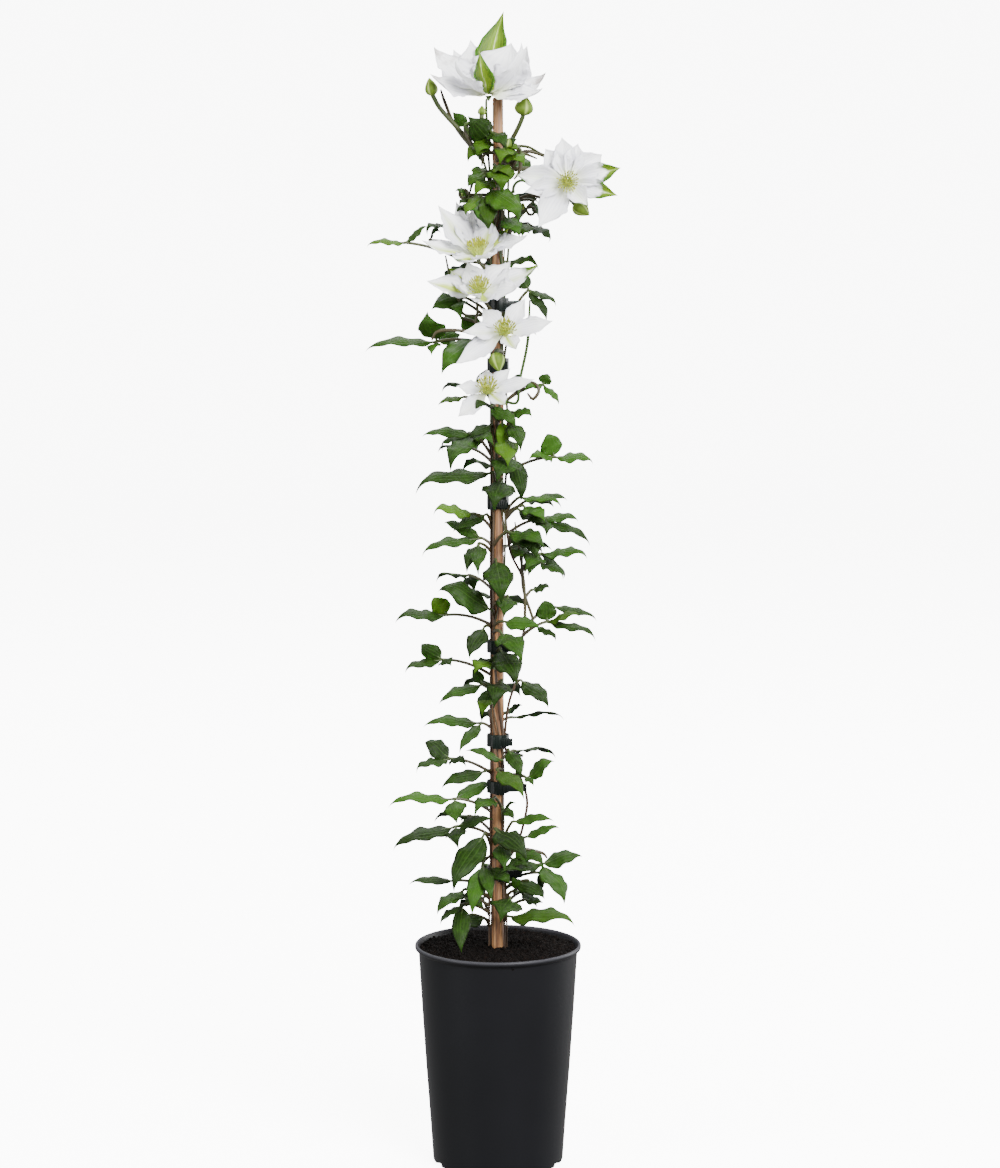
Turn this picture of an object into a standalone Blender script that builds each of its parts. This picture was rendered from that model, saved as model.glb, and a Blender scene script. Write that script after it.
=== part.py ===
# Potted clematis tied to a cane, built at real size (millimetres below, metres in the meshes)
import math

import bmesh
import bpy
from mathutils import Matrix, Vector

MM = 0.001

# pot and compost
POT_HEIGHT = 200.0
POT_RIM_RADIUS = 75.0
POT_NECK_RADIUS = 71.4
POT_FOOT_RADIUS = 59.0
POT_WALL = 1.6
POT_FLOOR = 5.0
POT_SIDES = 30
NOTCH_COUNT = 8
NOTCH_WIDTH = 12.0
NOTCH_HEIGHT = 3.4
NOTCH_DEPTH = 4.0
SOIL_LEVEL = 195.0
SOIL_CROWN = 1.0
HOLE_TOP = SOIL_LEVEL + 6.0
FIT_GAP = 0.3
HOLE_GAP = 0.35

# cane
CANE_BOTTOM = 46.0
CANE_TOP = 955.0
CANE_RADIUS_LOW = 5.7
CANE_RADIUS_HIGH = 4.75
CANE_SIDES = 10
CANE_NODES = (296.0, 430.0, 548.0, 668.0, 812.0, 905.0)
CANE_NODE_SWELL = 0.35

# stems, leaf stalks and leaves
STEM_RADIUS = 1.15
STEM_TOP_RADIUS = 0.95
STEM_SIDES = 5
STEM_HOLE_BOTTOM = 167.0
STEM_HOLE_SIDES = 8
STALK_RADIUS = 0.85
STALK_TIP_RADIUS = 0.7
STALK_SIDES = 3
STALK_BEND = 95.0
STALK_LONG = 20.0
LEAFLET_GAP = 0.07
LOBED_LENGTH = 38.0
LOBED_WIDTH = 19.0
SMALL_LENGTH = 22.0
LEAF_THICKNESS = 0.8
LEAF_ARCH = 0.16
LEAF_FOLD = -0.08
LEAF_WAVE = 0.09
LEAF_WIDEN = 1.36
LEAF_SKEW = 0.10
SIDE_LEAF_REACH = 34.0
SIDE_LEAF_WIDEN = 1.04
INNER_LEAF_STRETCH = 1.25
LEAF_TILT = 0.75
SIDE_LEAF_TILT = 0.42
BACK_BEGINS = 9.0
BUD_SIDES = 6
TWIG_RADIUS = 0.7
TWIG_TIP_RADIUS = 0.5

# clips
CLIP_THICKNESS = 1.15
CLIP_HEIGHT = 11.0
CLIP_SIDES = 10
CLIP_CLEARANCE = 9.5
BUCKLE_DEPTH = 3.8
BUCKLE_WIDTH = 8.0
STRAP_THICKNESS = 1.3
STRAP_HEIGHT = 7.0

# flowers
TEPAL_THICKNESS = 0.8
TEPAL_LAYER = 0.75
TEPAL_FOOT = 3.4
TEPAL_FOLD = 0.08
TEPAL_WAVE = 0.04
DISC_RADIUS = 4.6
DISC_HEIGHT = 2.4
DISC_SIDES = 8
NECK_LENGTH = 4.0
NECK_RADIUS = 0.95
NECK_END_RADIUS = 2.3
STAMEN_COUNT = 6
STAMEN_SIDES = 3
STAMEN_REACH = (7.4, 9.4)
STAMEN_RISE = 12.0

# a join's flat faces are merged below this angle, and its slivers below these lengths (metres)
FLAT_ANGLE = 0.3
SLIVERS = (0.0001, 0.00006, 0.00003, 0.0)

# clip number: height, direction that its buckle faces, length of its toothed tail
CLIPS = (
    (775.0, -75.0, 17.0),
    (722.0, -110.0, 13.0),
    (600.0, -118.0, 15.0),
    (471.0, -105.0, 15.0),
    (386.0, -95.0, 14.0),
    (344.0, -80.0, 24.0),
    (265.0, -70.0, 19.0),
)

# stem: (height, direction in degrees, distance from the cane's axis), 0 keeps it tight against the cane
STEMS = {
    "left": (
        (168, 180, 11), (200, 180, 11), (222, 181, 11.5), (241, 186, 15), (258, 180, 0),
        (272, 180, 0), (305, 178, 10), (337, 180, 0), (351, 180, 0), (379, 180, 0),
        (393, 180, 0), (425, 184, 9.5), (464, 180, 0), (478, 180, 0), (535, 176, 11),
        (593, 180, 0), (607, 180, 0), (660, 184, 9.5), (715, 180, 0), (729, 180, 0),
        (750, 180, 8.5), (768, 180, 0), (782, 180, 0), (825, 178, 9.5), (870, 184, 8.5),
        (905, 192, 8.5), (930, 200, 10), (945, 212, 12), (953.5, 225, 14.1),
    ),
    "right": (
        (168, 5, 12), (200, 5, 12), (225, 6, 12.5), (258, 0, 0), (272, 0, 0), (290, 0, 17),
        (314, 0, 24), (332, 0, 26), (352, 358, 20), (379, 0, 0), (393, 0, 0), (420, 350, 10),
        (445, 350, 18), (472, 350, 21), (495, 352, 24), (531, 355, 22), (556, 0, 11),
        (593, 0, 0), (607, 0, 0), (660, 2, 9), (715, 0, 0), (729, 0, 0), (750, 0, 8.5),
        (768, 0, 0), (782, 0, 0), (830, 4, 9.5), (880, 2, 9), (897, 6, 13),
    ),
    "front": (
        (168, 318, 11.5), (200, 318, 11.5), (225, 317, 11), (258, 316, 0), (272, 316, 0),
        (308, 314, 10), (337, 314, 0), (351, 314, 0), (379, 312, 0), (393, 311, 0),
        (425, 272, 10), (464, 234, 0), (478, 234, 0), (535, 228, 10.5), (593, 232, 0),
        (607, 232, 0), (655, 262, 10), (715, 310, 0), (729, 310, 0), (750, 308, 8.5),
        (768, 306, 0), (782, 306, 0), (830, 296, 9), (868, 290, 9), (895, 290, 11), (912, 296, 14),
    ),
    "back": (
        (168, 88, 12), (200, 88, 12), (230, 86, 12), (258, 90, 0), (272, 90, 0), (308, 84, 11),
        (337, 90, 0), (351, 90, 0), (379, 90, 0), (393, 90, 0), (430, 96, 12), (464, 90, 0),
        (478, 90, 0), (535, 86, 12), (593, 90, 0), (607, 90, 0), (660, 94, 11), (715, 90, 0),
        (729, 90, 0), (768, 90, 0), (782, 90, 0), (830, 84, 11), (880, 70, 10), (918, 50, 13),
    ),
    "side": (
        (168, 138, 12), (200, 138, 12), (230, 136, 12), (258, 135, 0), (272, 135, 0),
        (308, 140, 11), (337, 135, 0), (351, 135, 0), (379, 135, 0), (393, 135, 0),
        (430, 138, 10.5), (464, 135, 0), (478, 135, 0), (535, 132, 11), (593, 135, 0),
        (607, 135, 0), (660, 138, 10), (715, 135, 0), (729, 135, 0), (768, 135, 0),
        (782, 135, 0), (830, 140, 10), (870, 146, 10), (898, 158, 13), (912, 168, 19),
    ),
}

# stem, height of the stalk on it, end of the stalk, leaflets as (tip, width)
LEAVES = (
    ("front", 222, (8, -17, 229), [((68, -45, 225), 22)]),
    ("front", 238, (11, -26, 248), [((4, -52, 236), 24)]),
    ("right", 250, (16, -3, 258), [((36, -15, 247), 14)]),
    ("right", 258, (39, 4, 272), [((76, 10, 276), 16), ((59, -20, 240), 19), ((9, -24, 271), 13)]),
    ("right", 236, (21, 6, 246), [((32, 0, 236), 8), ((15, 22, 238), 10)]),
    ("left", 250, (-39, -12, 260), [((-80, -15, 257), 10)]),
    ("left", 243, (-30, -20, 254), [((-54, -40, 235), 15)]),
    ("left", 228, (-32, -24, 241), [((-51, -42, 226), 9), ((-32, -46, 211), 14)]),
    ("left", 216, (-12, -14, 226), [((-31, -16, 221), 12)]),
    ("left", 280, (-14, -17, 276), [((-21, -40, 245), 15), ((-7, -42, 255), 11)]),
    ("left", 290, (-12, -15, 304), [((-33, -38, 267), 21)]),
    ("front", 300, (-3, -18, 309), [((19, -45, 290), 20)]),
    ("front", 284, (2, -20, 296), [((5, -46, 281), 14)]),
    ("left", 299, (-38, -14, 310), [((-93, -20, 288), 17), ((-35, -36, 294), 16), ((-11, -22, 316), 10)]),
    ("left", 321, (-39, -8, 334), [((-98, -15, 326), 13), ((-13, 12, 339), 12), ((-36, -30, 315), 17)]),
    ("front", 322, (-3, -22, 338), [((-17, -45, 328), 15)]),
    ("front", 312, (4, -18, 324), [((14, -30, 332), 8)]),
    ("front", 296, (13, -17, 315), [((42, -22, 316), 9)]),
    ("right", 290, (23, 0, 297), [((56, 6, 303), 9)]),
    ("left", 356, (-43, -5, 370), [((-66, 6, 381), 16), ((-72, -14, 357), 13), ((-28, -24, 365), 11)]),
    ("left", 357, (-11, -12, 360), [((-42, -14, 348), 12)]),
    ("left", 397, (-15, 3, 401), [((-67, 5, 396), 13), ((-30, -14, 382), 10)]),
    ("front", 366, (4, -20, 371), [((-22, -36, 380), 10)]),
    ("front", 358, (-1, -22, 363), [((18, -50, 347), 15)]),
    ("right", 370, (9, -8, 379), [((18, -22, 361), 12)]),
    ("right", 345, (26, 2, 351), [((51, 2, 366), 15)]),
    ("back", 400, (12, 10, 405), [((49, 10, 402), 9)]),
    ("left", 424, (-9, -12, 432), [((-13, -27, 417), 12)]),
    ("left", 432, (-13, -2, 437), [((-44, -6, 423), 14), ((-20, 6, 446), 8)]),
    ("front", 436, (4, -18, 443), [((-2, -45, 427), 20)]),
    ("right", 436, (20, -2, 441), [((39, -12, 422), 15)]),
    ("left", 445, (-50, -2, 459), [((-83, -10, 448), 13), ((-68, 6, 472), 13), ((-41, -20, 455), 12)]),
    ("left", 456, (-7, -14, 460), [((-18, -30, 453), 18)]),
    ("front", 456, (2, -18, 465), [((13, -48, 447), 22)]),
    ("front", 484, (2, -22, 487), [((17, -52, 468), 20)]),
    ("front", 490, (4, -13, 495), [((30, -20, 490), 14)]),
    ("left", 488, (-12, -11, 490), [((-22, -25, 469), 15)]),
    ("left", 490, (-45, 0, 499), [((-92, -8, 493), 16), ((-57, 6, 514), 15)]),
    ("front", 500, (-5, -14, 505), [((-43, -8, 517), 20)]),
    ("right", 478, (44, 0, 493), [((73, -10, 497), 15), ((41, 8, 509), 16), ((87, -12, 477), 12)]),
    ("front", 508, (9, -14, 518), [((6, -30, 504), 16)]),
    ("right", 512, (30, 5, 521), [((46, 8, 520), 9)]),
    ("front", 541, (-2, -16, 551), [((2, -38, 522), 22)]),
    ("right", 538, (38, 0, 554), [((79, -12, 549), 17), ((58, 14, 529), 14), ((26, -28, 542), 16)]),
    ("left", 556, (-17, -16, 565), [((-25, -34, 546), 12), ((-17, -42, 545), 13)]),
    ("left", 562, (-15, 0, 568), [((-67, -8, 551), 14), ((-41, 13, 576), 10)]),
    ("right", 572, (37, 0, 585), [((72, 6, 581), 11), ((82, -5, 561), 13), ((42, -26, 571), 15)]),
    ("front", 562, (9, -18, 576), [((34, -34, 564), 17)]),
    ("right", 585, (27, 0, 602), [((62, 10, 600), 10), ((49, -18, 596), 14)]),
    ("left", 577, (-21, -10, 591), [((-57, -16, 589), 17)]),
    ("front", 613, (4, -18, 622), [((-2, -46, 602), 24)]),
    ("front", 618, (-4, -14, 628), [((-58, -20, 613), 20)]),
    ("front", 636, (13, -20, 643), [((2, -45, 626), 22)]),
    ("right", 638, (15, -10, 641), [((19, -20, 611), 13)]),
    ("right", 625, (50, 2, 640), [((84, 6, 632), 13), ((43, 6, 660), 17), ((27, -10, 637), 12)]),
    ("left", 642, (-21, -6, 661), [((-67, 0, 657), 13), ((-37, -30, 637), 19), ((-43, 15, 647), 10),
                                   ((-7, -26, 653), 13)]),
    ("right", 668, (12, -10, 681), [((26, -15, 677), 12)]),
    ("right", 660, (12, -16, 673), [((18, -35, 653), 14)]),
    ("right", 690, (40, 5, 704), [((43, 10, 712), 10), ((53, 0, 686), 9), ((26, -8, 700), 7)]),
    ("left", 684, (-30, 6, 693), [((-53, 5, 685), 9)]),
    ("front", 665, (-5, -16, 687), [((-17, -36, 682), 14)]),
    ("right", 700, (12, 6, 703), [((20, 18, 707), 12)]),
    ("left", 735, (-20, -5, 746), [((-43, -25, 722), 22)]),
    ("left", 738, (-54, 5, 742), [((-117, 0, 732), 14), ((-58, -15, 730), 10), ((-33, 16, 747), 11),
                                  ((-62, -8, 769), 21)]),
    ("side", 748, (-33, 9, 763), [((-19, 20, 751), 14)]),
    ("side", 756, (-35, 4, 779), [((-56, -1, 774), 13), ((-32, -20, 765), 14)]),
    ("side", 795, (-81, -2, 829), [((-115, -5, 824), 10), ((-61, 2, 842), 10)]),
    ("side", 812, (-61, 6, 831), [((-50, 14, 837), 10)]),
    ("right", 758, (27, -2, 788), [((19, 6, 799), 11), ((51, -5, 773), 10), ((39, -12, 766), 10)]),
    ("left", 908, (-7, -12, 918), [((-22, -22, 934), 17), ((-22, -15, 903), 12)]),
    ("front", 884, (1, -16, 897), [((3, -30, 877), 19)]),
    ("front", 862, (-8, -16, 877), [((12, -30, 853), 21)]),
    ("right", 840, (27, 4, 846), [((22, -10, 836), 10), ((43, 6, 828), 12)]),
    ("side", 850, (-44, 4, 846), [((-62, -2, 835), 11)]),
    ("front", 893, (8, -14, 906), [((20, -26, 898), 14)]),
    ("left", 882, (-12, -9, 890), [((-23, -14, 880), 12)]),
    ("left", 866, (-14, -12, 871), [((-10, -27, 847), 15), ((-24, -14, 856), 10)]),
    ("back", 890, (12, 12, 902), [((26, 6, 893), 12)]),
    ("front", 842, (6, -16, 852), [((16, -32, 838), 14)]),
    ("left", 806, (-26, 10, 812), [((-40, 12, 796), 13)]),
    ("front", 655, (6, -16, 660), [((8, -40, 640), 18)]),
    ("left", 664, (-6, -12, 670), [((-20, -18, 660), 11)]),
    ("front", 672, (4, -13, 674), [((4, -20, 650), 10)]),
    ("left", 582, (-10, -6, 590), [((-33, -6, 577), 12)]),
    ("right", 586, (17, -8, 595), [((38, -14, 581), 13)]),
    ("right", 563, (26, -8, 574), [((32, -18, 556), 12)]),
    ("right", 550, (12, -6, 560), [((25, -14, 551), 12)]),
    ("right", 486, (48, 8, 506), [((88, 6, 492), 10)]),
    ("right", 480, (34, -6, 490), [((51, -10, 476), 9)]),
    ("front", 280, (14, -14, 288), [((35, -24, 278), 13)]),
    ("left", 226, (-15, 9, 240), [((-31, 15, 228), 13), ((-9, 22, 232), 11)]),
    ("front", 903, (8, -14, 913), [((15, -16, 917), 8), ((3, -30, 900), 15)]),
    ("side", 862, (-20, 4, 862), [((-33, 0, 856), 8)]),
    ("side", 900, (-27, 8, 930), [((-37, 6, 940), 8)]),
    ("right", 862, (30, 0, 866), [((36, -3, 849), 8)]),
    ("back", 250, (4, 26, 262), [((18, 52, 250), 17), ((-12, 48, 252), 15)]),
    ("side", 300, (-26, 26, 312), [((-58, 42, 302), 16), ((-24, 50, 296), 14)]),
    ("back", 362, (14, 26, 372), [((44, 44, 362), 16), ((10, 52, 356), 18)]),
    ("back", 420, (0, 30, 432), [((-26, 52, 424), 16), ((16, 56, 418), 17)]),
    ("back", 500, (-2, 28, 512), [((-22, 54, 502), 17), ((20, 52, 500), 15)]),
    ("side", 520, (-26, 24, 532), [((-56, 38, 524), 15), ((-22, 46, 516), 12)]),
    ("back", 546, (8, 28, 558), [((40, 44, 552), 15), ((2, 56, 548), 17)]),
    ("back", 620, (0, 26, 630), [((-26, 50, 622), 16), ((22, 50, 618), 15)]),
    ("side", 634, (-26, 26, 646), [((-54, 44, 640), 14)]),
    ("side", 690, (-24, 26, 702), [((-50, 42, 694), 13)]),
    ("back", 745, (4, 26, 756), [((28, 48, 748), 14), ((-16, 46, 744), 13)]),
    ("back", 800, (6, 26, 812), [((30, 42, 806), 13), ((-10, 44, 804), 12)]),
    ("back", 860, (8, 22, 870), [((30, 38, 864), 12), ((-8, 36, 862), 11)]),
)

# stalk that ends in a flower or bud: stem, height on it, points passed
BLOOM_STALKS = {
    "bloom_1": ("left", None, ()),
    "bloom_2": ("right", 895, ((22, 4, 908), (40, 4, 905), (56, -4, 894))),
    "bloom_3": ("front", 790, ((-2, -12, 797), (-11, -16, 806))),
    "bloom_4": ("front", 755, ((-6, -15, 770),)),
    "bloom_5": ("front", 740, ((1, -14, 745),)),
    "bloom_6": ("front", 675, ((-5, -16, 690),)),
}

# flower: centre, way it faces, tepals as (tip, width, arch)
BLOOMS = {
    "bloom_1": ((-8, -9, 958), (0.05, 0.0, 1.0), (
        ((-59, -22, 975), 26, -0.22), ((-56, 14, 1000), 33, -0.18), ((-37, -36, 986), 32, -0.24),
        ((-24, 33, 1007), 34, -0.18), ((-39, 26, 998), 30, -0.18), ((4, 23, 1027), 34, -0.20),
        ((-16, -42, 991), 20, -0.24), ((26, 6, 1000), 32, -0.25), ((28, 27, 990), 33, -0.20),
        ((42, 4, 977), 32, -0.20), ((39, -27, 963), 26, -0.20), ((15, -37, 1001), 33, -0.25),
    )),
    "bloom_2": ((60, -25, 882), (0.08, -1.0, 0.05), (
        ((56, -2, 921), 21, 0.05), ((70, -6, 915), 21, 0.05), ((41, -10, 911), 21, 0.0),
        ((91, -12, 906), 27, 0.0), ((107, -22, 894), 22, 0.10), ((104, -35, 870), 20, -0.05),
        ((35, -43, 843), 30, -0.06), ((15, -26, 888), 25, 0.06), ((23, -39, 873), 21, -0.05),
        ((78, -42, 861), 21, -0.08), ((52, -17, 909), 20, 0.02),
    )),
    "bloom_3": ((-17, -25, 818), (-0.1, -0.5, 1.0), (
        ((-52, -12, 862), 25, -0.10), ((-37, 0, 865), 20, -0.10), ((-19, -3, 864), 25, -0.12),
        ((-4, -12, 849), 21, -0.10), ((10, -18, 843), 21, -0.10), ((26, -32, 837), 23, -0.08),
        ((-67, -26, 831), 22, -0.10), ((-38, -52, 815), 24, -0.14), ((-8, -56, 821), 22, -0.14),
    )),
    "bloom_4": ((-15, -28, 786), (-0.1, -0.7, 0.7), (
        ((-62, -38, 797), 24, -0.10), ((-43, -20, 807), 24, -0.08), ((-27, -18, 812), 21, -0.08),
        ((11, -18, 813), 25, -0.10), ((36, -26, 810), 22, -0.10), ((17, -57, 792), 24, -0.14),
        ((-34, -60, 793), 23, -0.14), ((-10, -64, 780), 21, -0.14),
    )),
    "bloom_5": ((5, -28, 751), (0.1, -0.8, 0.5), (
        ((-14, -20, 772), 24, -0.08), ((24, -18, 781), 21, -0.08), ((48, -34, 762), 24, -0.10),
        ((-30, -38, 753), 21, -0.10), ((-37, -47, 725), 24, -0.12), ((16, -57, 738), 22, -0.12),
    )),
    "bloom_6": ((-9, -30, 700), (0.0, -0.8, 0.5), (
        ((-10, -22, 719), 23, -0.08), ((11, -22, 720), 19, -0.08), ((32, -33, 711), 21, -0.10),
        ((-36, -33, 705), 21, -0.10), ((-35, -51, 679), 25, -0.12), ((8, -56, 690), 21, -0.12),
    )),
}

# bud: stem, height of its stalk, points passed, foot of the bud, tip, radius
BUDS = (
    ("side", 905, ((-32, 2, 925), (-50, -4, 945)), (-57, -7, 957), (-60, -8, 972), 5.2),
    ("back", 912, ((14, 4, 922), (20, -1, 934)), (22, -3, 940), (24, -4, 957), 7.6),
    ("left", 925, ((-14, -9, 936),), (-14, -9, 940), (-14, -9, 948), 3.4),
    ("right", 893, ((40, -2, 890),), (67, -12, 863), (80, -15, 853), 6.4),
    ("right", 835, ((14, 2, 848),), (20, 0, 854), (22, -1, 864), 4.0),
    ("front", 733, ((0, -16, 735), (-1, -26, 735)), (-2, -33, 733), (1, -41, 718), 6.6),
    ("front", 900, ((6, -16, 908),), (8, -18, 912), (10, -20, 920), 3.6),
    ("side", 866, ((-18, 5, 868),), (-26, 2, 869), (-34, 0, 871), 4.4),
)

# tendril or bare twig: stem, height on it, points passed
TWIGS = (
    ("side", 900, ((-36, 8, 928), (-46, 2, 950), (-50, 0, 962))),
    ("right", 690, ((28, -4, 706), (36, -8, 700), (31, -9, 692), (26, -6, 697))),
    ("front", 282, ((16, -14, 290), (38, -12, 286), (44, -8, 280))),
    ("left", 745, ((-30, -14, 752), (-52, -16, 752), (-58, -14, 744))),
    ("left", 905, ((-22, -6, 914), (-29, -4, 928), (-25, -4, 932), (-22, -5, 926))),
    ("front", 898, ((18, -10, 902), (19, -8, 892), (14, -8, 884))),
    ("right", 860, ((20, -6, 868), (32, -8, 870), (42, -8, 865))),
)

LEAF_SHAPE = ((0.15, 0.80), (0.52, 1.0), (1.0, 0.0))
LEAF_SHAPE_LOBED = ((0.12, 0.78), (0.36, 1.0), (0.66, 0.66), (1.0, 0.0))
LEAF_SHAPE_SMALL = ((0.28, 1.0), (1.0, 0.0))
TEPAL_SHAPE = ((0.0, 0.0), (0.30, 0.74), (0.64, 1.0), (1.0, 0.0))


# remove whatever the file starts with
def clear_scene():
    for item in list(bpy.data.objects):
        bpy.data.objects.remove(item, do_unlink=True)


def material(name, colour, roughness):
    made = bpy.data.materials.new(name)
    made.use_nodes = True
    shader = made.node_tree.nodes["Principled BSDF"]
    shader.inputs["Base Color"].default_value = (*colour, 1.0)
    shader.inputs["Roughness"].default_value = roughness
    made.diffuse_color = (*colour, 1.0)
    return made


# closed mesh object from millimetre points and triangles
def solid(name, shape, collection):
    points, faces = shape
    mesh = bpy.data.meshes.new(name)
    mesh.from_pydata([Vector(p) * MM for p in points], [], faces)
    mesh.update()
    made = bpy.data.objects.new(name, mesh)
    collection.objects.link(made)
    return made


# join every shape of a list into one closed body
def union_node(name, shapes, look):
    scene = bpy.context.scene.collection
    group = bpy.data.collections.new(name + "_shapes")
    scene.children.link(group)
    body = solid(name, shapes[0], scene)
    for index, shape in enumerate(shapes[1:]):
        solid(f"{name}_shape_{index}", shape, group)
    if len(shapes) > 1:
        join = body.modifiers.new("join", "BOOLEAN")
        join.operation = "UNION"
        join.operand_type = "COLLECTION"
        join.collection = group
        join.solver = "EXACT"
        apply_modifiers(body)
        merge_flat(body)
    for item in list(group.objects):
        bpy.data.objects.remove(item, do_unlink=True)
    bpy.data.collections.remove(group)
    body.data.materials.clear()
    body.data.materials.append(look)
    return body


def apply_modifiers(body):
    bpy.context.view_layer.update()
    graph = bpy.context.evaluated_depsgraph_get()
    mesh = bpy.data.meshes.new_from_object(body.evaluated_get(graph))
    body.modifiers.clear()
    old = body.data
    body.data = mesh
    bpy.data.meshes.remove(old)
    mesh.name = body.name


# cut a list of shapes out of a body
def cut(body, shapes):
    cutter = solid("cutter", merge_shapes(shapes), bpy.context.scene.collection)
    cutter.hide_render = True
    cutter.display_type = "WIRE"
    hole = body.modifiers.new("cut", "BOOLEAN")
    hole.operation = "DIFFERENCE"
    hole.solver = "EXACT"
    hole.object = cutter
    apply_modifiers(body)
    bpy.data.objects.remove(cutter, do_unlink=True)


def merge_shapes(shapes):
    points, faces = [], []
    for some_points, some_faces in shapes:
        start = len(points)
        points.extend(some_points)
        faces.extend([tuple(start + i for i in face) for face in some_faces])
    return points, faces


# merge the slivers and flat faces that a join has split, as long as the body stays closed
def merge_flat(body):
    for shortest in SLIVERS:
        work = bmesh.new()
        work.from_mesh(body.data)
        flat = math.radians(FLAT_ANGLE)
        bmesh.ops.dissolve_limit(work, angle_limit=flat, verts=work.verts, edges=work.edges)
        bmesh.ops.triangulate(work, faces=work.faces)
        if shortest:
            bmesh.ops.dissolve_degenerate(work, dist=shortest, edges=work.edges)
            bmesh.ops.triangulate(work, faces=work.faces)
        closed = all(len(edge.link_faces) == 2 for edge in work.edges)
        if closed or not shortest:
            work.to_mesh(body.data)
        work.free()
        if closed:
            return


def smooth(body, angle=40.0):
    for face in body.data.polygons:
        face.use_smooth = True
    body.data.set_sharp_from_angle(angle=math.radians(angle))


# solid of revolution from (radius, height) pairs, first and last on the axis
def lathe(profile, sides, turn=0.0):
    points, faces, rings = [], [], []
    for radius, height in profile:
        if radius == 0.0:
            rings.append([len(points)])
            points.append(Vector((0.0, 0.0, height)))
            continue
        ring = []
        for i in range(sides):
            angle = turn + 2.0 * math.pi * i / sides
            ring.append(len(points))
            points.append(Vector((radius * math.cos(angle), radius * math.sin(angle), height)))
        rings.append(ring)
    for low, high in zip(rings, rings[1:]):
        for i in range(sides):
            k = (i + 1) % sides
            if len(low) == 1:
                faces.append((low[0], high[k], high[i]))
            elif len(high) == 1:
                faces.append((low[i], low[k], high[0]))
            else:
                faces.append((low[i], low[k], high[k]))
                faces.append((low[i], high[k], high[i]))
    return points, faces


def moved(shape, matrix):
    points, faces = shape
    return [matrix @ p for p in points], faces


# matrix that turns +Z to a direction and moves to a place
def aim(place, direction):
    turn = Vector(direction).normalized().to_track_quat("Z", "Y").to_matrix().to_4x4()
    return Matrix.Translation(Vector(place)) @ turn


def box(length, width, height):
    x, y, z = length / 2.0, width / 2.0, height / 2.0
    points = []
    for level in (-z, z):
        for sx, sy in ((-1, -1), (1, -1), (1, 1), (-1, 1)):
            points.append(Vector((sx * x, sy * y, level)))
    faces = [(0, 2, 1), (0, 3, 2), (4, 5, 6), (4, 6, 7)]
    for i in range(4):
        k = (i + 1) % 4
        faces.extend(((i, k, k + 4), (i, k + 4, i + 4)))
    return points, faces


# round tube along points, flat at both ends
def tube(path, radii, sides):
    path = [Vector(p) for p in path]
    points, faces, rings = [], [], []
    side = None
    for i, place in enumerate(path):
        ahead = path[min(i + 1, len(path) - 1)] - place
        behind = place - path[max(i - 1, 0)]
        along = (ahead.normalized() + behind.normalized()).normalized()
        if side is None:
            side = along.orthogonal().normalized()
        side = (side - along * side.dot(along)).normalized()
        other = along.cross(side)
        ring = []
        for k in range(sides):
            angle = 2.0 * math.pi * k / sides
            ring.append(len(points))
            points.append(place + (side * math.cos(angle) + other * math.sin(angle)) * radii[i])
        rings.append(ring)
    for low, high in zip(rings, rings[1:]):
        for k in range(sides):
            m = (k + 1) % sides
            faces.append((low[k], low[m], high[m]))
            faces.append((low[k], high[m], high[k]))
    for k in range(1, sides - 1):
        faces.append((rings[0][0], rings[0][k + 1], rings[0][k]))
        faces.append((rings[-1][0], rings[-1][k], rings[-1][k + 1]))
    return points, faces


# point and heading on the arched midline of a leaf or tepal
def midline(base, control, tip, t):
    place = base * (1.0 - t) ** 2 + control * (2.0 * t * (1.0 - t)) + tip * t * t
    heading = (control - base) * (1.0 - t) + (tip - control) * t
    return place, heading.normalized()


def blade_frame(base, tip, facing, arch):
    along = tip - base
    across = along.cross(facing).normalized()
    up = across.cross(along).normalized()
    control = (base + tip) * 0.5 + up * (arch * along.length)
    return across, control


# closed blade with waved edges, both faces split into triangles alike
def blade(base, tip, width, facing, arch, shape, thickness, fold, wave, flip):
    across, control = blade_frame(base, tip, facing, arch)
    points, faces, rings = [], [], []
    last = len(shape) - 1
    for i, (t, spread) in enumerate(shape):
        place, heading = midline(base, control, tip, t)
        normal = across.cross(heading).normalized()
        thick = normal * thickness * 0.5
        start = len(points)
        if spread == 0.0:
            points.extend((place + thick, place - thick))
            rings.append((start, start, start, start + 1, start + 1, start + 1))
            continue
        half = 0.5 * width * spread
        sign = flip if i % 2 else -flip
        skew = LEAF_SKEW * sign
        left = place - across * half * (1.0 + skew) + normal * (fold * half * 2.0 + wave * width * sign)
        right = place + across * half * (1.0 - skew) + normal * (fold * half * 2.0 - wave * width * sign)
        points.extend((left + thick, place + thick, right + thick))
        points.extend((left - thick, place - thick, right - thick))
        rings.append(tuple(range(start, start + 6)))
    for i in range(last):
        a, b = rings[i], rings[i + 1]
        upper = ((a[0], a[1], b[1], b[0]), (a[2], b[2], b[1], a[1]))
        lower = ((a[3], b[3], b[4], a[4]), (a[5], a[4], b[4], b[5]))
        for one, two, three, four in upper + lower:
            faces.extend(((one, two, three), (one, three, four)))
        faces.extend(((a[3], a[0], b[0]), (a[3], b[0], b[3]), (a[2], a[5], b[5]), (a[2], b[5], b[2])))
    if shape[0][1] != 0.0:
        faces.extend(((0, 3, 4), (0, 4, 1), (1, 4, 5), (1, 5, 2)))
    return points, [face for face in faces if len(set(face)) == 3]


def cane_radius(height):
    share = (height - SOIL_LEVEL) / (CANE_TOP - SOIL_LEVEL)
    share = max(0.0, min(1.0, share))
    return CANE_RADIUS_LOW + (CANE_RADIUS_HIGH - CANE_RADIUS_LOW) * share


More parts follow.
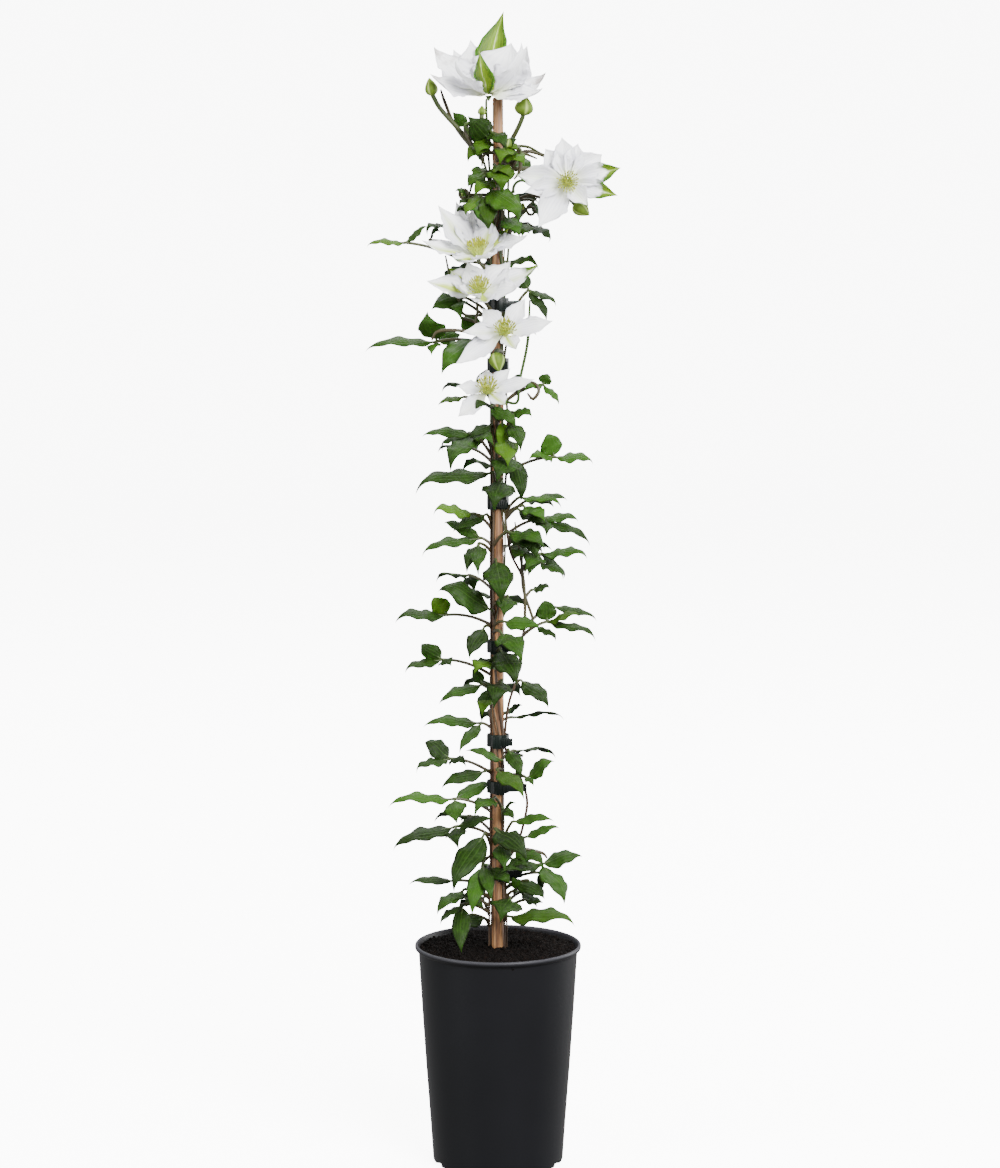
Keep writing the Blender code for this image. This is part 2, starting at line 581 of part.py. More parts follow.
# real points of a stem from its polar list
def stem_points(name):
    points = []
    for height, angle, distance in STEMS[name]:
        if distance == 0:
            distance = cane_radius(height) + CANE_NODE_SWELL * 0.2 + HOLE_GAP + STEM_RADIUS
        turn = math.radians(angle)
        points.append(Vector((distance * math.cos(turn), distance * math.sin(turn), float(height))))
    return points


def stem_at(points, height):
    for low, high in zip(points, points[1:]):
        if low.z <= height <= high.z:
            return low.lerp(high, (height - low.z) / (high.z - low.z))
    return points[-1].copy()


# stalks start clear of the clips
def clear_height(height):
    for clip_height, _, _ in CLIPS:
        if abs(height - clip_height) < CLIP_CLEARANCE:
            step = CLIP_CLEARANCE if height >= clip_height else -CLIP_CLEARANCE
            return clip_height + step
    return height


# leaves look up and outwards, those far out at a side lie flatter
def leaf_facing(base, tip):
    middle = (base + tip) * 0.5
    steep = SIDE_LEAF_TILT if abs(middle.x) > SIDE_LEAF_REACH else LEAF_TILT
    front = -steep if middle.y <= BACK_BEGINS else steep
    lean = max(-0.35, min(0.35, middle.x * 0.006))
    return Vector((lean, front, 0.8)).normalized()


# leaves near the cane reach a little further than their listed tips
def leaf_tip(elbow, tip):
    if abs(elbow.x + tip.x) * 0.5 > SIDE_LEAF_REACH:
        return tip
    return elbow.lerp(tip, INNER_LEAF_STRETCH)


def leaf_width(base, tip, width):
    if abs(base.x + tip.x) * 0.5 > SIDE_LEAF_REACH:
        return width * LEAF_WIDEN * SIDE_LEAF_WIDEN
    return width * LEAF_WIDEN


# leaflet and its stalk as one closed shape
def leaf_shape(stalk, radii, base, tip, width, facing, outline, flip):
    across, control = blade_frame(base, tip, facing, LEAF_ARCH)
    leaf, faces = blade(
        base, tip, width, facing, LEAF_ARCH, outline, LEAF_THICKNESS, LEAF_FOLD, LEAF_WAVE, flip,
    )
    faces = faces[:-4]
    path = [Vector(p) for p in stalk] + [base]
    _, heading = midline(base, control, tip, 0.0)
    rings = []
    for i in range(len(path) - 1, -1, -1):
        behind = (path[i] - path[i - 1]).normalized() if i else (path[1] - path[0]).normalized()
        ahead = (path[i + 1] - path[i]).normalized() if i < len(path) - 1 else heading
        along = (ahead + behind).normalized()
        across = (across - along * across.dot(along)).normalized()
        up = across.cross(along).normalized()
        ring = []
        for aside, rise in ((-0.87, -0.5), (0.0, 1.0), (0.87, -0.5)):
            ring.append(len(leaf))
            leaf.append(path[i] + (across * aside + up * rise) * radii[i])
        rings.append(ring)
    left, top, right = rings[0]
    faces.extend(((left, 1, 0), (left, top, 1), (top, 2, 1), (top, right, 2), (right, 5, 2)))
    faces.extend(((right, 4, 5), (right, left, 4), (left, 3, 4), (left, 0, 3)))
    for near, far in zip(rings, rings[1:]):
        for k in range(3):
            m = (k + 1) % 3
            faces.append((near[k], far[m], near[m]))
            faces.append((near[k], far[k], far[m]))
    end = rings[-1]
    faces.append((end[0], end[2], end[1]))
    return leaf, faces


def leaf_shapes(start, elbow, leaflets, row):
    shapes = []
    reach = elbow - start
    rise = start.lerp(elbow, 0.5) + Vector((0.0, 0.0, 0.16 * reach.length))
    steps = (0.0, 0.45, 1.0) if reach.length > STALK_LONG else (0.0, 1.0)
    stalk = [midline(start, rise, elbow, t)[0] for t in steps]
    for index, (tip, width) in enumerate(leaflets):
        tip = leaf_tip(elbow, Vector(tip))
        base = elbow.lerp(tip, LEAFLET_GAP)
        flip = 1.0 if (row + index) % 2 else -1.0
        facing = leaf_facing(base, tip)
        width = leaf_width(base, tip, width)
        length = (tip - base).length
        if length > LOBED_LENGTH and width > LOBED_WIDTH:
            outline = LEAF_SHAPE_LOBED
        elif length > SMALL_LENGTH:
            outline = LEAF_SHAPE
        else:
            outline = LEAF_SHAPE_SMALL
        path = [elbow - reach.normalized() * 0.5]
        if index == 0 and reach.angle(base - elbow) < math.radians(STALK_BEND):
            path = stalk
        elif index == 0:
            shapes.append(tube(stalk, [STALK_RADIUS] * len(stalk), STALK_SIDES))
        radii = [STALK_RADIUS] * len(path) + [STALK_TIP_RADIUS]
        shapes.append(leaf_shape(path, radii, base, tip, width, facing, outline, flip))
    return shapes


def bud_shape(foot, tip, radius):
    foot, tip = Vector(foot), Vector(tip)
    length = (tip - foot).length
    profile = (
        (0.0, -0.6), (radius * 0.55, -0.6), (radius, length * 0.38), (radius * 0.6, length * 0.78),
        (0.0, length),
    )
    return moved(lathe(profile, BUD_SIDES), aim(foot, tip - foot))


def stem_shapes(name):
    points = stem_points(name)
    count = len(points) - 1
    radii = [STEM_RADIUS + (STEM_TOP_RADIUS - STEM_RADIUS) * i / count for i in range(count + 1)]
    shapes = []
    for bloom, (owner, height, passed) in BLOOM_STALKS.items():
        if owner != name:
            continue
        centre, facing, _ = BLOOMS[bloom]
        facing = Vector(facing).normalized()
        end = Vector(centre) - facing * (DISC_HEIGHT * 0.5 + FIT_GAP)
        neck = end - facing * NECK_LENGTH
        if height is None:
            points = points + [neck, end]
            radii = radii + [NECK_RADIUS, NECK_END_RADIUS]
            continue
        start = stem_at(points, height)
        path = [start] + [Vector(p) for p in passed] + [neck, end]
        shapes.append(tube(path, [NECK_RADIUS] * (len(path) - 1) + [NECK_END_RADIUS], STEM_SIDES))
    shapes.insert(0, tube(points, radii, STEM_SIDES))
    for row, (owner, height, elbow, leaflets) in enumerate(LEAVES):
        if owner == name:
            start = stem_at(points, clear_height(height))
            shapes.extend(leaf_shapes(start, Vector(elbow), leaflets, row))
    for owner, height, passed, foot, tip, radius in BUDS:
        if owner == name:
            path = [stem_at(points, clear_height(height))] + [Vector(p) for p in passed] + [Vector(foot)]
            shapes.append(tube(path, [TWIG_RADIUS] * len(path), STALK_SIDES))
            shapes.append(bud_shape(foot, tip, radius))
    for owner, height, passed in TWIGS:
        if owner == name:
            path = [stem_at(points, clear_height(height))] + [Vector(p) for p in passed]
            radii = [TWIG_RADIUS] * (len(path) - 1) + [TWIG_TIP_RADIUS]
            shapes.append(tube(path, radii, STALK_SIDES))
    return shapes


def tepal_shapes(name):
    centre, facing, tepals = BLOOMS[name]
    centre, facing = Vector(centre), Vector(facing).normalized()
    half = DISC_HEIGHT / 2.0
    disc = ((0.0, -half), (DISC_RADIUS, -half), (DISC_RADIUS, half), (0.0, half))
    shapes = [moved(lathe(disc, DISC_SIDES), aim(centre, facing))]
    for index, (tip, width, arch) in enumerate(tepals):
        tip = Vector(tip)
        out = tip - centre
        out = (out - facing * out.dot(facing)).normalized()
        level = TEPAL_LAYER if index % 2 else -TEPAL_LAYER
        base = centre + out * TEPAL_FOOT + facing * level
        look = centre + facing * (tip - centre).length * 0.9 - (base + tip) * 0.5
        flip = 1.0 if index % 2 else -1.0
        shape = blade(base, tip, width, look, arch, TEPAL_SHAPE, TEPAL_THICKNESS, TEPAL_FOLD, TEPAL_WAVE, flip)
        shapes.append(shape)
    return shapes


def stamen_shapes(name):
    centre, facing, _ = BLOOMS[name]
    centre, facing = Vector(centre), Vector(facing).normalized()
    foot = DISC_HEIGHT / 2 + FIT_GAP
    dome = ((0.0, foot), (3.6, foot), (4.2, foot + 3.6), (0.0, foot + 9.5))
    frame = aim(centre, facing)
    shapes = [moved(lathe(dome, STAMEN_COUNT), frame)]
    for i in range(STAMEN_COUNT):
        angle = 2.0 * math.pi * (i + 0.5) / STAMEN_COUNT
        lean = Vector((math.cos(angle), math.sin(angle), 0.0))
        start = lean * 2.0 + Vector((0.0, 0.0, foot + 1.8))
        end = lean * STAMEN_REACH[i % 2] + Vector((0.0, 0.0, foot + STAMEN_RISE))
        shapes.append(tube([frame @ start, frame @ end], [0.7, 1.15], STAMEN_SIDES))
    return shapes


def clip_shapes(height, buckle_angle, tail):
    half = CLIP_HEIGHT / 2.0
    stems = cane_radius(height) + CANE_NODE_SWELL * 0.2 + HOLE_GAP + 2.0 * STEM_RADIUS
    inner = (stems + FIT_GAP) / math.cos(math.pi / CLIP_SIDES)
    outer = inner + CLIP_THICKNESS
    points, faces = [], []
    rings = ((inner, -half), (outer, -half), (outer, half), (inner, half))
    for radius, level in rings:
        for i in range(CLIP_SIDES):
            angle = 2.0 * math.pi * i / CLIP_SIDES
            points.append(Vector((radius * math.cos(angle), radius * math.sin(angle), height + level)))
    for ring in range(4):
        for i in range(CLIP_SIDES):
            k = (i + 1) % CLIP_SIDES
            a, b = ring * CLIP_SIDES, (ring + 1) % 4 * CLIP_SIDES
            faces.append((a + i, a + k, b + k))
            faces.append((a + i, b + k, b + i))
    shapes = [(points, faces)]
    turn = Matrix.Rotation(math.radians(buckle_angle), 4, "Z")
    lift = Matrix.Translation((0.0, 0.0, height))
    place = lift @ turn @ Matrix.Translation((outer + 1.4, 0.0, 0.0))
    shapes.append(moved(box(BUCKLE_DEPTH, BUCKLE_WIDTH, CLIP_HEIGHT + 1.4), place))
    strap = lift @ turn @ Matrix.Translation((outer + 1.7, tail * 0.5, 0.0))
    shapes.append(moved(box(STRAP_THICKNESS, tail, STRAP_HEIGHT), strap))
    return shapes


def make_pot(look):
    inner = POT_NECK_RADIUS - POT_WALL
    profile = (
        (0.0, 0.0), (POT_FOOT_RADIUS - 2.4, 0.0), (POT_FOOT_RADIUS - 0.7, 0.7), (POT_FOOT_RADIUS, 2.4),
        (POT_NECK_RADIUS, POT_HEIGHT - 5.0), (POT_RIM_RADIUS - 0.8, POT_HEIGHT - 4.6),
        (POT_RIM_RADIUS, POT_HEIGHT - 3.2), (POT_RIM_RADIUS, POT_HEIGHT - 1.2),
        (POT_RIM_RADIUS - 0.9, POT_HEIGHT), (POT_RIM_RADIUS - 2.8, POT_HEIGHT),
        (inner + 0.9, POT_HEIGHT - 1.0), (inner, POT_HEIGHT - 3.6),
        (POT_FOOT_RADIUS - POT_WALL, POT_FLOOR + 1.6), (0.0, POT_FLOOR),
    )
    pot = solid("pot", lathe(profile, POT_SIDES), bpy.context.scene.collection)
    notches = []
    for i in range(NOTCH_COUNT):
        turn = Matrix.Rotation(2.0 * math.pi * (i + 0.5) / NOTCH_COUNT, 4, "Z")
        place = turn @ Matrix.Translation((POT_FOOT_RADIUS - NOTCH_DEPTH + 6.0, 0.0, 0.0))
        notches.append(moved(box(12.0, NOTCH_WIDTH, NOTCH_HEIGHT * 2.0), place))
    cut(pot, notches)
    merge_flat(pot)
    pot.data.materials.clear()
    pot.data.materials.append(look)
    smooth(pot, 35.0)
    return pot


def make_soil(look):
    inner_low = POT_FOOT_RADIUS - POT_WALL - FIT_GAP
    inner_high = POT_NECK_RADIUS - POT_WALL - FIT_GAP
    share = (SOIL_LEVEL - 4.0) / POT_HEIGHT
    edge = inner_low + (inner_high - inner_low) * share
    profile = (
        (0.0, POT_FLOOR + FIT_GAP), (inner_low, POT_FLOOR + 1.6 + FIT_GAP), (edge, SOIL_LEVEL - 3.5),
        (edge - 4.0, SOIL_LEVEL - 1.0), (0.0, SOIL_LEVEL + SOIL_CROWN),
    )
    soil = solid("soil", lathe(profile, POT_SIDES), bpy.context.scene.collection)
    low = CANE_BOTTOM - HOLE_GAP
    radius = CANE_RADIUS_LOW + HOLE_GAP
    holes = [lathe(((0.0, low), (radius, low), (radius, HOLE_TOP), (0.0, HOLE_TOP)), CANE_SIDES)]
    radius = (STEM_RADIUS + HOLE_GAP) / math.cos(math.pi / STEM_HOLE_SIDES)
    hole = ((0.0, STEM_HOLE_BOTTOM), (radius, STEM_HOLE_BOTTOM), (radius, HOLE_TOP), (0.0, HOLE_TOP))
    for name in STEMS:
        foot = stem_points(name)[0]
        holes.append(moved(lathe(hole, STEM_HOLE_SIDES), Matrix.Translation((foot.x, foot.y, 0.0))))
    cut(soil, holes)
    merge_flat(soil)
    soil.data.materials.clear()
    soil.data.materials.append(look)
    smooth(soil, 35.0)
    return soil


def make_cane(look):
    profile = [(0.0, CANE_BOTTOM), (CANE_RADIUS_LOW, CANE_BOTTOM)]
    for height in CANE_NODES:
        radius = cane_radius(height)
        profile.append((radius, height - 4.0))
        profile.append((radius + CANE_NODE_SWELL, height))
        profile.append((cane_radius(height + 4.0), height + 4.0))
    profile.append((CANE_RADIUS_HIGH, CANE_TOP - 0.6))
    profile.append((CANE_RADIUS_HIGH - 0.6, CANE_TOP))
    profile.append((0.0, CANE_TOP))
    cane = solid("cane", lathe(profile, CANE_SIDES), bpy.context.scene.collection)
    cane.data.materials.append(look)
    smooth(cane, 50.0)
    return cane


def main():
    clear_scene()
    make_pot(material("pot_plastic", (0.018, 0.018, 0.020), 0.55))
    make_soil(material("compost", (0.022, 0.012, 0.008), 0.95))
    make_cane(material("bamboo", (0.43, 0.20, 0.085), 0.5))
    clip_look = material("clip_plastic", (0.012, 0.022, 0.018), 0.45)
    for number, (height, angle, tail) in enumerate(CLIPS, start=1):
        clip = union_node(f"clip_{number}", clip_shapes(height, angle, tail), clip_look)
        smooth(clip, 30.0)
    green = material("clematis_green", (0.075, 0.20, 0.030), 0.6)
    for name in STEMS:
        vine = union_node(f"stem_{name}", stem_shapes(name), green)
        smooth(vine, 50.0)
    white = material("tepal_white", (0.80, 0.80, 0.78), 0.5)
    yellow = material("stamen_yellow", (0.62, 0.52, 0.10), 0.6)
    for name in BLOOMS:
        smooth(union_node(f"{name}_tepals", tepal_shapes(name), white), 50.0)
        smooth(union_node(f"{name}_stamens", stamen_shapes(name), yellow), 50.0)


main()
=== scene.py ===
# Looks of the potted clematis: finer pieces over the CAD nodes, materials, light and camera
import math
import random

import bmesh
import bpy
from mathutils import Matrix, Vector


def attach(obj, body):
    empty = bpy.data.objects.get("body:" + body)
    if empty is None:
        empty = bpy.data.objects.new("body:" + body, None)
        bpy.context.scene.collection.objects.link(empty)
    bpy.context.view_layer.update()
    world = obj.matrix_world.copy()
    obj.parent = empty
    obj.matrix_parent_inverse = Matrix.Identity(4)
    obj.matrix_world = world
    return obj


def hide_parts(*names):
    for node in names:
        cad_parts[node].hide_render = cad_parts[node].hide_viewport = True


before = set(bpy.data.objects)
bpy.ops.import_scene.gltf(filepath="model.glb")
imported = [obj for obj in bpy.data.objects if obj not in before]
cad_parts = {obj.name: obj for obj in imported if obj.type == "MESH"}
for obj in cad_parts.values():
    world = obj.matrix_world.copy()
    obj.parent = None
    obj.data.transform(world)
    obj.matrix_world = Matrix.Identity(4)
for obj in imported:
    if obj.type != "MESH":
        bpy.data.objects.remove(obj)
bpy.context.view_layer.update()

print("stage: frame loaded")

mm = 0.001
seeds = {"stems": 40, "shoots": 17, "blooms": 70}

# placement lists, in millimetres, the same as the solids were made from
# clips: height, direction of the buckle in degrees, length of the tail
clipRows = (
    (775.0, -75.0, 17.0), (722.0, -110.0, 13.0), (600.0, -118.0, 15.0), (471.0, -105.0, 15.0),
    (386.0, -95.0, 14.0), (344.0, -80.0, 24.0), (265.0, -70.0, 19.0),
)

# stems: height, angle and distance from the upright axis, 0 where the stem lies on the cane
stemRoutes = {
    "left": (
        (168, 180, 11), (200, 180, 11), (222, 181, 11.5), (241, 186, 15), (258, 180, 0),
        (272, 180, 0), (305, 178, 10), (337, 180, 0), (351, 180, 0), (379, 180, 0),
        (393, 180, 0), (425, 184, 9.5), (464, 180, 0), (478, 180, 0), (535, 176, 11),
        (593, 180, 0), (607, 180, 0), (660, 184, 9.5), (715, 180, 0), (729, 180, 0),
        (750, 180, 8.5), (768, 180, 0), (782, 180, 0), (825, 178, 9.5), (870, 184, 8.5),
        (905, 192, 8.5), (930, 200, 10), (945, 212, 12), (953.5, 225, 14.1),
    ),
    "right": (
        (168, 5, 12), (200, 5, 12), (225, 6, 12.5), (258, 0, 0), (272, 0, 0), (290, 0, 17),
        (314, 0, 24), (332, 0, 26), (352, 358, 20), (379, 0, 0), (393, 0, 0), (420, 350, 10),
        (445, 350, 18), (472, 350, 21), (495, 352, 24), (531, 355, 22), (556, 0, 11),
        (593, 0, 0), (607, 0, 0), (660, 2, 9), (715, 0, 0), (729, 0, 0), (750, 0, 8.5),
        (768, 0, 0), (782, 0, 0), (830, 4, 9.5), (880, 2, 9), (897, 6, 13),
    ),
    "front": (
        (168, 318, 11.5), (200, 318, 11.5), (225, 317, 11), (258, 316, 0), (272, 316, 0),
        (308, 314, 10), (337, 314, 0), (351, 314, 0), (379, 312, 0), (393, 311, 0),
        (425, 272, 10), (464, 234, 0), (478, 234, 0), (535, 228, 10.5), (593, 232, 0),
        (607, 232, 0), (655, 262, 10), (715, 310, 0), (729, 310, 0), (750, 308, 8.5),
        (768, 306, 0), (782, 306, 0), (830, 296, 9), (868, 290, 9), (895, 290, 11), (912, 296, 14),
    ),
    "back": (
        (168, 88, 12), (200, 88, 12), (230, 86, 12), (258, 90, 0), (272, 90, 0), (308, 84, 11),
        (337, 90, 0), (351, 90, 0), (379, 90, 0), (393, 90, 0), (430, 96, 12), (464, 90, 0),
        (478, 90, 0), (535, 86, 12), (593, 90, 0), (607, 90, 0), (660, 94, 11), (715, 90, 0),
        (729, 90, 0), (768, 90, 0), (782, 90, 0), (830, 84, 11), (880, 70, 10), (918, 50, 13),
    ),
    "side": (
        (168, 138, 12), (200, 138, 12), (230, 136, 12), (258, 135, 0), (272, 135, 0),
        (308, 140, 11), (337, 135, 0), (351, 135, 0), (379, 135, 0), (393, 135, 0),
        (430, 138, 10.5), (464, 135, 0), (478, 135, 0), (535, 132, 11), (593, 135, 0),
        (607, 135, 0), (660, 138, 10), (715, 135, 0), (729, 135, 0), (768, 135, 0),
        (782, 135, 0), (830, 140, 10), (870, 146, 10), (898, 158, 13), (912, 168, 19),
    ),
}

# leaves: stem, height where the stalk leaves it, end of the stalk, tip and width of each leaflet
leafRows = (
    ("front", 222, (8, -17, 229), [((68, -45, 225), 22)]),
    ("front", 238, (11, -26, 248), [((4, -52, 236), 24)]),
    ("right", 250, (16, -3, 258), [((36, -15, 247), 14)]),
    ("right", 258, (39, 4, 272), [((76, 10, 276), 16), ((59, -20, 240), 19), ((9, -24, 271), 13)]),
    ("right", 236, (21, 6, 246), [((32, 0, 236), 8), ((15, 22, 238), 10)]),
    ("left", 250, (-39, -12, 260), [((-80, -15, 257), 10)]),
    ("left", 243, (-30, -20, 254), [((-54, -40, 235), 15)]),
    ("left", 228, (-32, -24, 241), [((-51, -42, 226), 9), ((-32, -46, 211), 14)]),
    ("left", 216, (-12, -14, 226), [((-31, -16, 221), 12)]),
    ("left", 280, (-14, -17, 276), [((-21, -40, 245), 15), ((-7, -42, 255), 11)]),
    ("left", 290, (-12, -15, 304), [((-33, -38, 267), 21)]),
    ("front", 300, (-3, -18, 309), [((19, -45, 290), 20)]),
    ("front", 284, (2, -20, 296), [((5, -46, 281), 14)]),
    ("left", 299, (-38, -14, 310), [((-93, -20, 288), 17), ((-35, -36, 294), 16), ((-11, -22, 316), 10)]),
    ("left", 321, (-39, -8, 334), [((-98, -15, 326), 13), ((-13, 12, 339), 12), ((-36, -30, 315), 17)]),
    ("front", 322, (-3, -22, 338), [((-17, -45, 328), 15)]),
    ("front", 312, (4, -18, 324), [((14, -30, 332), 8)]),
    ("front", 296, (13, -17, 315), [((42, -22, 316), 9)]),
    ("right", 290, (23, 0, 297), [((56, 6, 303), 9)]),
    ("left", 356, (-43, -5, 370), [((-66, 6, 381), 16), ((-72, -14, 357), 13), ((-28, -24, 365), 11)]),
    ("left", 357, (-11, -12, 360), [((-42, -14, 348), 12)]),
    ("left", 397, (-15, 3, 401), [((-67, 5, 396), 13), ((-30, -14, 382), 10)]),
    ("front", 366, (4, -20, 371), [((-22, -36, 380), 10)]),
    ("front", 358, (-1, -22, 363), [((18, -50, 347), 15)]),
    ("right", 370, (9, -8, 379), [((18, -22, 361), 12)]),
    ("right", 345, (26, 2, 351), [((51, 2, 366), 15)]),
    ("back", 400, (12, 10, 405), [((49, 10, 402), 9)]),
    ("left", 424, (-9, -12, 432), [((-13, -27, 417), 12)]),
    ("left", 432, (-13, -2, 437), [((-44, -6, 423), 14), ((-20, 6, 446), 8)]),
    ("front", 436, (4, -18, 443), [((-2, -45, 427), 20)]),
    ("right", 436, (20, -2, 441), [((39, -12, 422), 15)]),
    ("left", 445, (-50, -2, 459), [((-83, -10, 448), 13), ((-68, 6, 472), 13), ((-41, -20, 455), 12)]),
    ("left", 456, (-7, -14, 460), [((-18, -30, 453), 18)]),
    ("front", 456, (2, -18, 465), [((13, -48, 447), 22)]),
    ("front", 484, (2, -22, 487), [((17, -52, 468), 20)]),
    ("front", 490, (4, -13, 495), [((30, -20, 490), 14)]),
    ("left", 488, (-12, -11, 490), [((-22, -25, 469), 15)]),
    ("left", 490, (-45, 0, 499), [((-92, -8, 493), 16), ((-57, 6, 514), 15)]),
    ("front", 500, (-5, -14, 505), [((-43, -8, 517), 20)]),
    ("right", 478, (44, 0, 493), [((73, -10, 497), 15), ((41, 8, 509), 16), ((87, -12, 477), 12)]),
    ("front", 508, (9, -14, 518), [((6, -30, 504), 16)]),
    ("right", 512, (30, 5, 521), [((46, 8, 520), 9)]),
    ("front", 541, (-2, -16, 551), [((2, -38, 522), 22)]),
    ("right", 538, (38, 0, 554), [((79, -12, 549), 17), ((58, 14, 529), 14), ((26, -28, 542), 16)]),
    ("left", 556, (-17, -16, 565), [((-25, -34, 546), 12), ((-17, -42, 545), 13)]),
    ("left", 562, (-15, 0, 568), [((-67, -8, 551), 14), ((-41, 13, 576), 10)]),
    ("right", 572, (37, 0, 585), [((72, 6, 581), 11), ((82, -5, 561), 13), ((42, -26, 571), 15)]),
    ("front", 562, (9, -18, 576), [((34, -34, 564), 17)]),
    ("right", 585, (27, 0, 602), [((62, 10, 600), 10), ((49, -18, 596), 14)]),
    ("left", 577, (-21, -10, 591), [((-57, -16, 589), 17)]),
    ("front", 613, (4, -18, 622), [((-2, -46, 602), 24)]),
    ("front", 618, (-4, -14, 628), [((-58, -20, 613), 20)]),
    ("front", 636, (13, -20, 643), [((2, -45, 626), 22)]),
    ("right", 638, (15, -10, 641), [((19, -20, 611), 13)]),
    ("right", 625, (50, 2, 640), [((84, 6, 632), 13), ((43, 6, 660), 17), ((27, -10, 637), 12)]),
    ("left", 642, (-21, -6, 661), [((-67, 0, 657), 13), ((-37, -30, 637), 19), ((-43, 15, 647), 10),
                                   ((-7, -26, 653), 13)]),
    ("right", 668, (12, -10, 681), [((26, -15, 677), 12)]),
    ("right", 660, (12, -16, 673), [((18, -35, 653), 14)]),
    ("right", 690, (40, 5, 704), [((43, 10, 712), 10), ((53, 0, 686), 9), ((26, -8, 700), 7)]),
    ("left", 684, (-30, 6, 693), [((-53, 5, 685), 9)]),
    ("front", 665, (-5, -16, 687), [((-17, -36, 682), 14)]),
    ("right", 700, (12, 6, 703), [((20, 18, 707), 12)]),
    ("left", 735, (-20, -5, 746), [((-43, -25, 722), 22)]),
    ("left", 738, (-54, 5, 742), [((-117, 0, 732), 14), ((-58, -15, 730), 10), ((-33, 16, 747), 11),
                                  ((-62, -8, 769), 21)]),
    ("side", 748, (-33, 9, 763), [((-19, 20, 751), 14)]),
    ("side", 756, (-35, 4, 779), [((-56, -1, 774), 13), ((-32, -20, 765), 14)]),
    ("side", 795, (-81, -2, 829), [((-115, -5, 824), 10), ((-61, 2, 842), 10)]),
    ("side", 812, (-61, 6, 831), [((-50, 14, 837), 10)]),
    ("right", 758, (27, -2, 788), [((19, 6, 799), 11), ((51, -5, 773), 10), ((39, -12, 766), 10)]),
    ("left", 908, (-7, -12, 918), [((-22, -22, 934), 17), ((-22, -15, 903), 12)]),
    ("front", 884, (1, -16, 897), [((3, -30, 877), 19)]),
    ("front", 862, (-8, -16, 877), [((12, -30, 853), 21)]),
    ("right", 840, (27, 4, 846), [((22, -10, 836), 10), ((43, 6, 828), 12)]),
    ("side", 850, (-44, 4, 846), [((-62, -2, 835), 11)]),
    ("front", 893, (8, -14, 906), [((20, -26, 898), 14)]),
    ("left", 882, (-12, -9, 890), [((-23, -14, 880), 12)]),
    ("left", 866, (-14, -12, 871), [((-10, -27, 847), 15), ((-24, -14, 856), 10)]),
    ("back", 890, (12, 12, 902), [((26, 6, 893), 12)]),
    ("front", 842, (6, -16, 852), [((16, -32, 838), 14)]),
    ("left", 806, (-26, 10, 812), [((-40, 12, 796), 13)]),
    ("front", 655, (6, -16, 660), [((8, -40, 640), 18)]),
    ("left", 664, (-6, -12, 670), [((-20, -18, 660), 11)]),
    ("front", 672, (4, -13, 674), [((4, -20, 650), 10)]),
    ("left", 582, (-10, -6, 590), [((-33, -6, 577), 12)]),
    ("right", 586, (17, -8, 595), [((38, -14, 581), 13)]),
    ("right", 563, (26, -8, 574), [((32, -18, 556), 12)]),
    ("right", 550, (12, -6, 560), [((25, -14, 551), 12)]),
    ("right", 486, (48, 8, 506), [((88, 6, 492), 10)]),
    ("right", 480, (34, -6, 490), [((51, -10, 476), 9)]),
    ("front", 280, (14, -14, 288), [((35, -24, 278), 13)]),
    ("left", 226, (-15, 9, 240), [((-31, 15, 228), 13), ((-9, 22, 232), 11)]),
    ("front", 903, (8, -14, 913), [((15, -16, 917), 8), ((3, -30, 900), 15)]),
    ("side", 862, (-20, 4, 862), [((-33, 0, 856), 8)]),
    ("side", 900, (-27, 8, 930), [((-37, 6, 940), 8)]),
    ("right", 862, (30, 0, 866), [((36, -3, 849), 8)]),
    ("back", 250, (4, 26, 262), [((18, 52, 250), 17), ((-12, 48, 252), 15)]),
    ("side", 300, (-26, 26, 312), [((-58, 42, 302), 16), ((-24, 50, 296), 14)]),
    ("back", 362, (14, 26, 372), [((44, 44, 362), 16), ((10, 52, 356), 18)]),
    ("back", 420, (0, 30, 432), [((-26, 52, 424), 16), ((16, 56, 418), 17)]),
    ("back", 500, (-2, 28, 512), [((-22, 54, 502), 17), ((20, 52, 500), 15)]),
    ("side", 520, (-26, 24, 532), [((-56, 38, 524), 15), ((-22, 46, 516), 12)]),
    ("back", 546, (8, 28, 558), [((40, 44, 552), 15), ((2, 56, 548), 17)]),
    ("back", 620, (0, 26, 630), [((-26, 50, 622), 16), ((22, 50, 618), 15)]),
    ("side", 634, (-26, 26, 646), [((-54, 44, 640), 14)]),
    ("side", 690, (-24, 26, 702), [((-50, 42, 694), 13)]),
    ("back", 745, (4, 26, 756), [((28, 48, 748), 14), ((-16, 46, 744), 13)]),
    ("back", 800, (6, 26, 812), [((30, 42, 806), 13), ((-10, 44, 804), 12)]),
    ("back", 860, (8, 22, 870), [((30, 38, 864), 12), ((-8, 36, 862), 11)]),
)

# stalks of flowers: stem, height, points passed; the first flower ends its stem
bloomStalks = {
    "bloom_1": ("left", None, ()),
    "bloom_2": ("right", 895, ((22, 4, 908), (40, 4, 905), (56, -4, 894))),
    "bloom_3": ("front", 790, ((-2, -12, 797), (-11, -16, 806))),
    "bloom_4": ("front", 755, ((-6, -15, 770),)),
    "bloom_5": ("front", 740, ((1, -14, 745),)),
    "bloom_6": ("front", 675, ((-5, -16, 690),)),
}

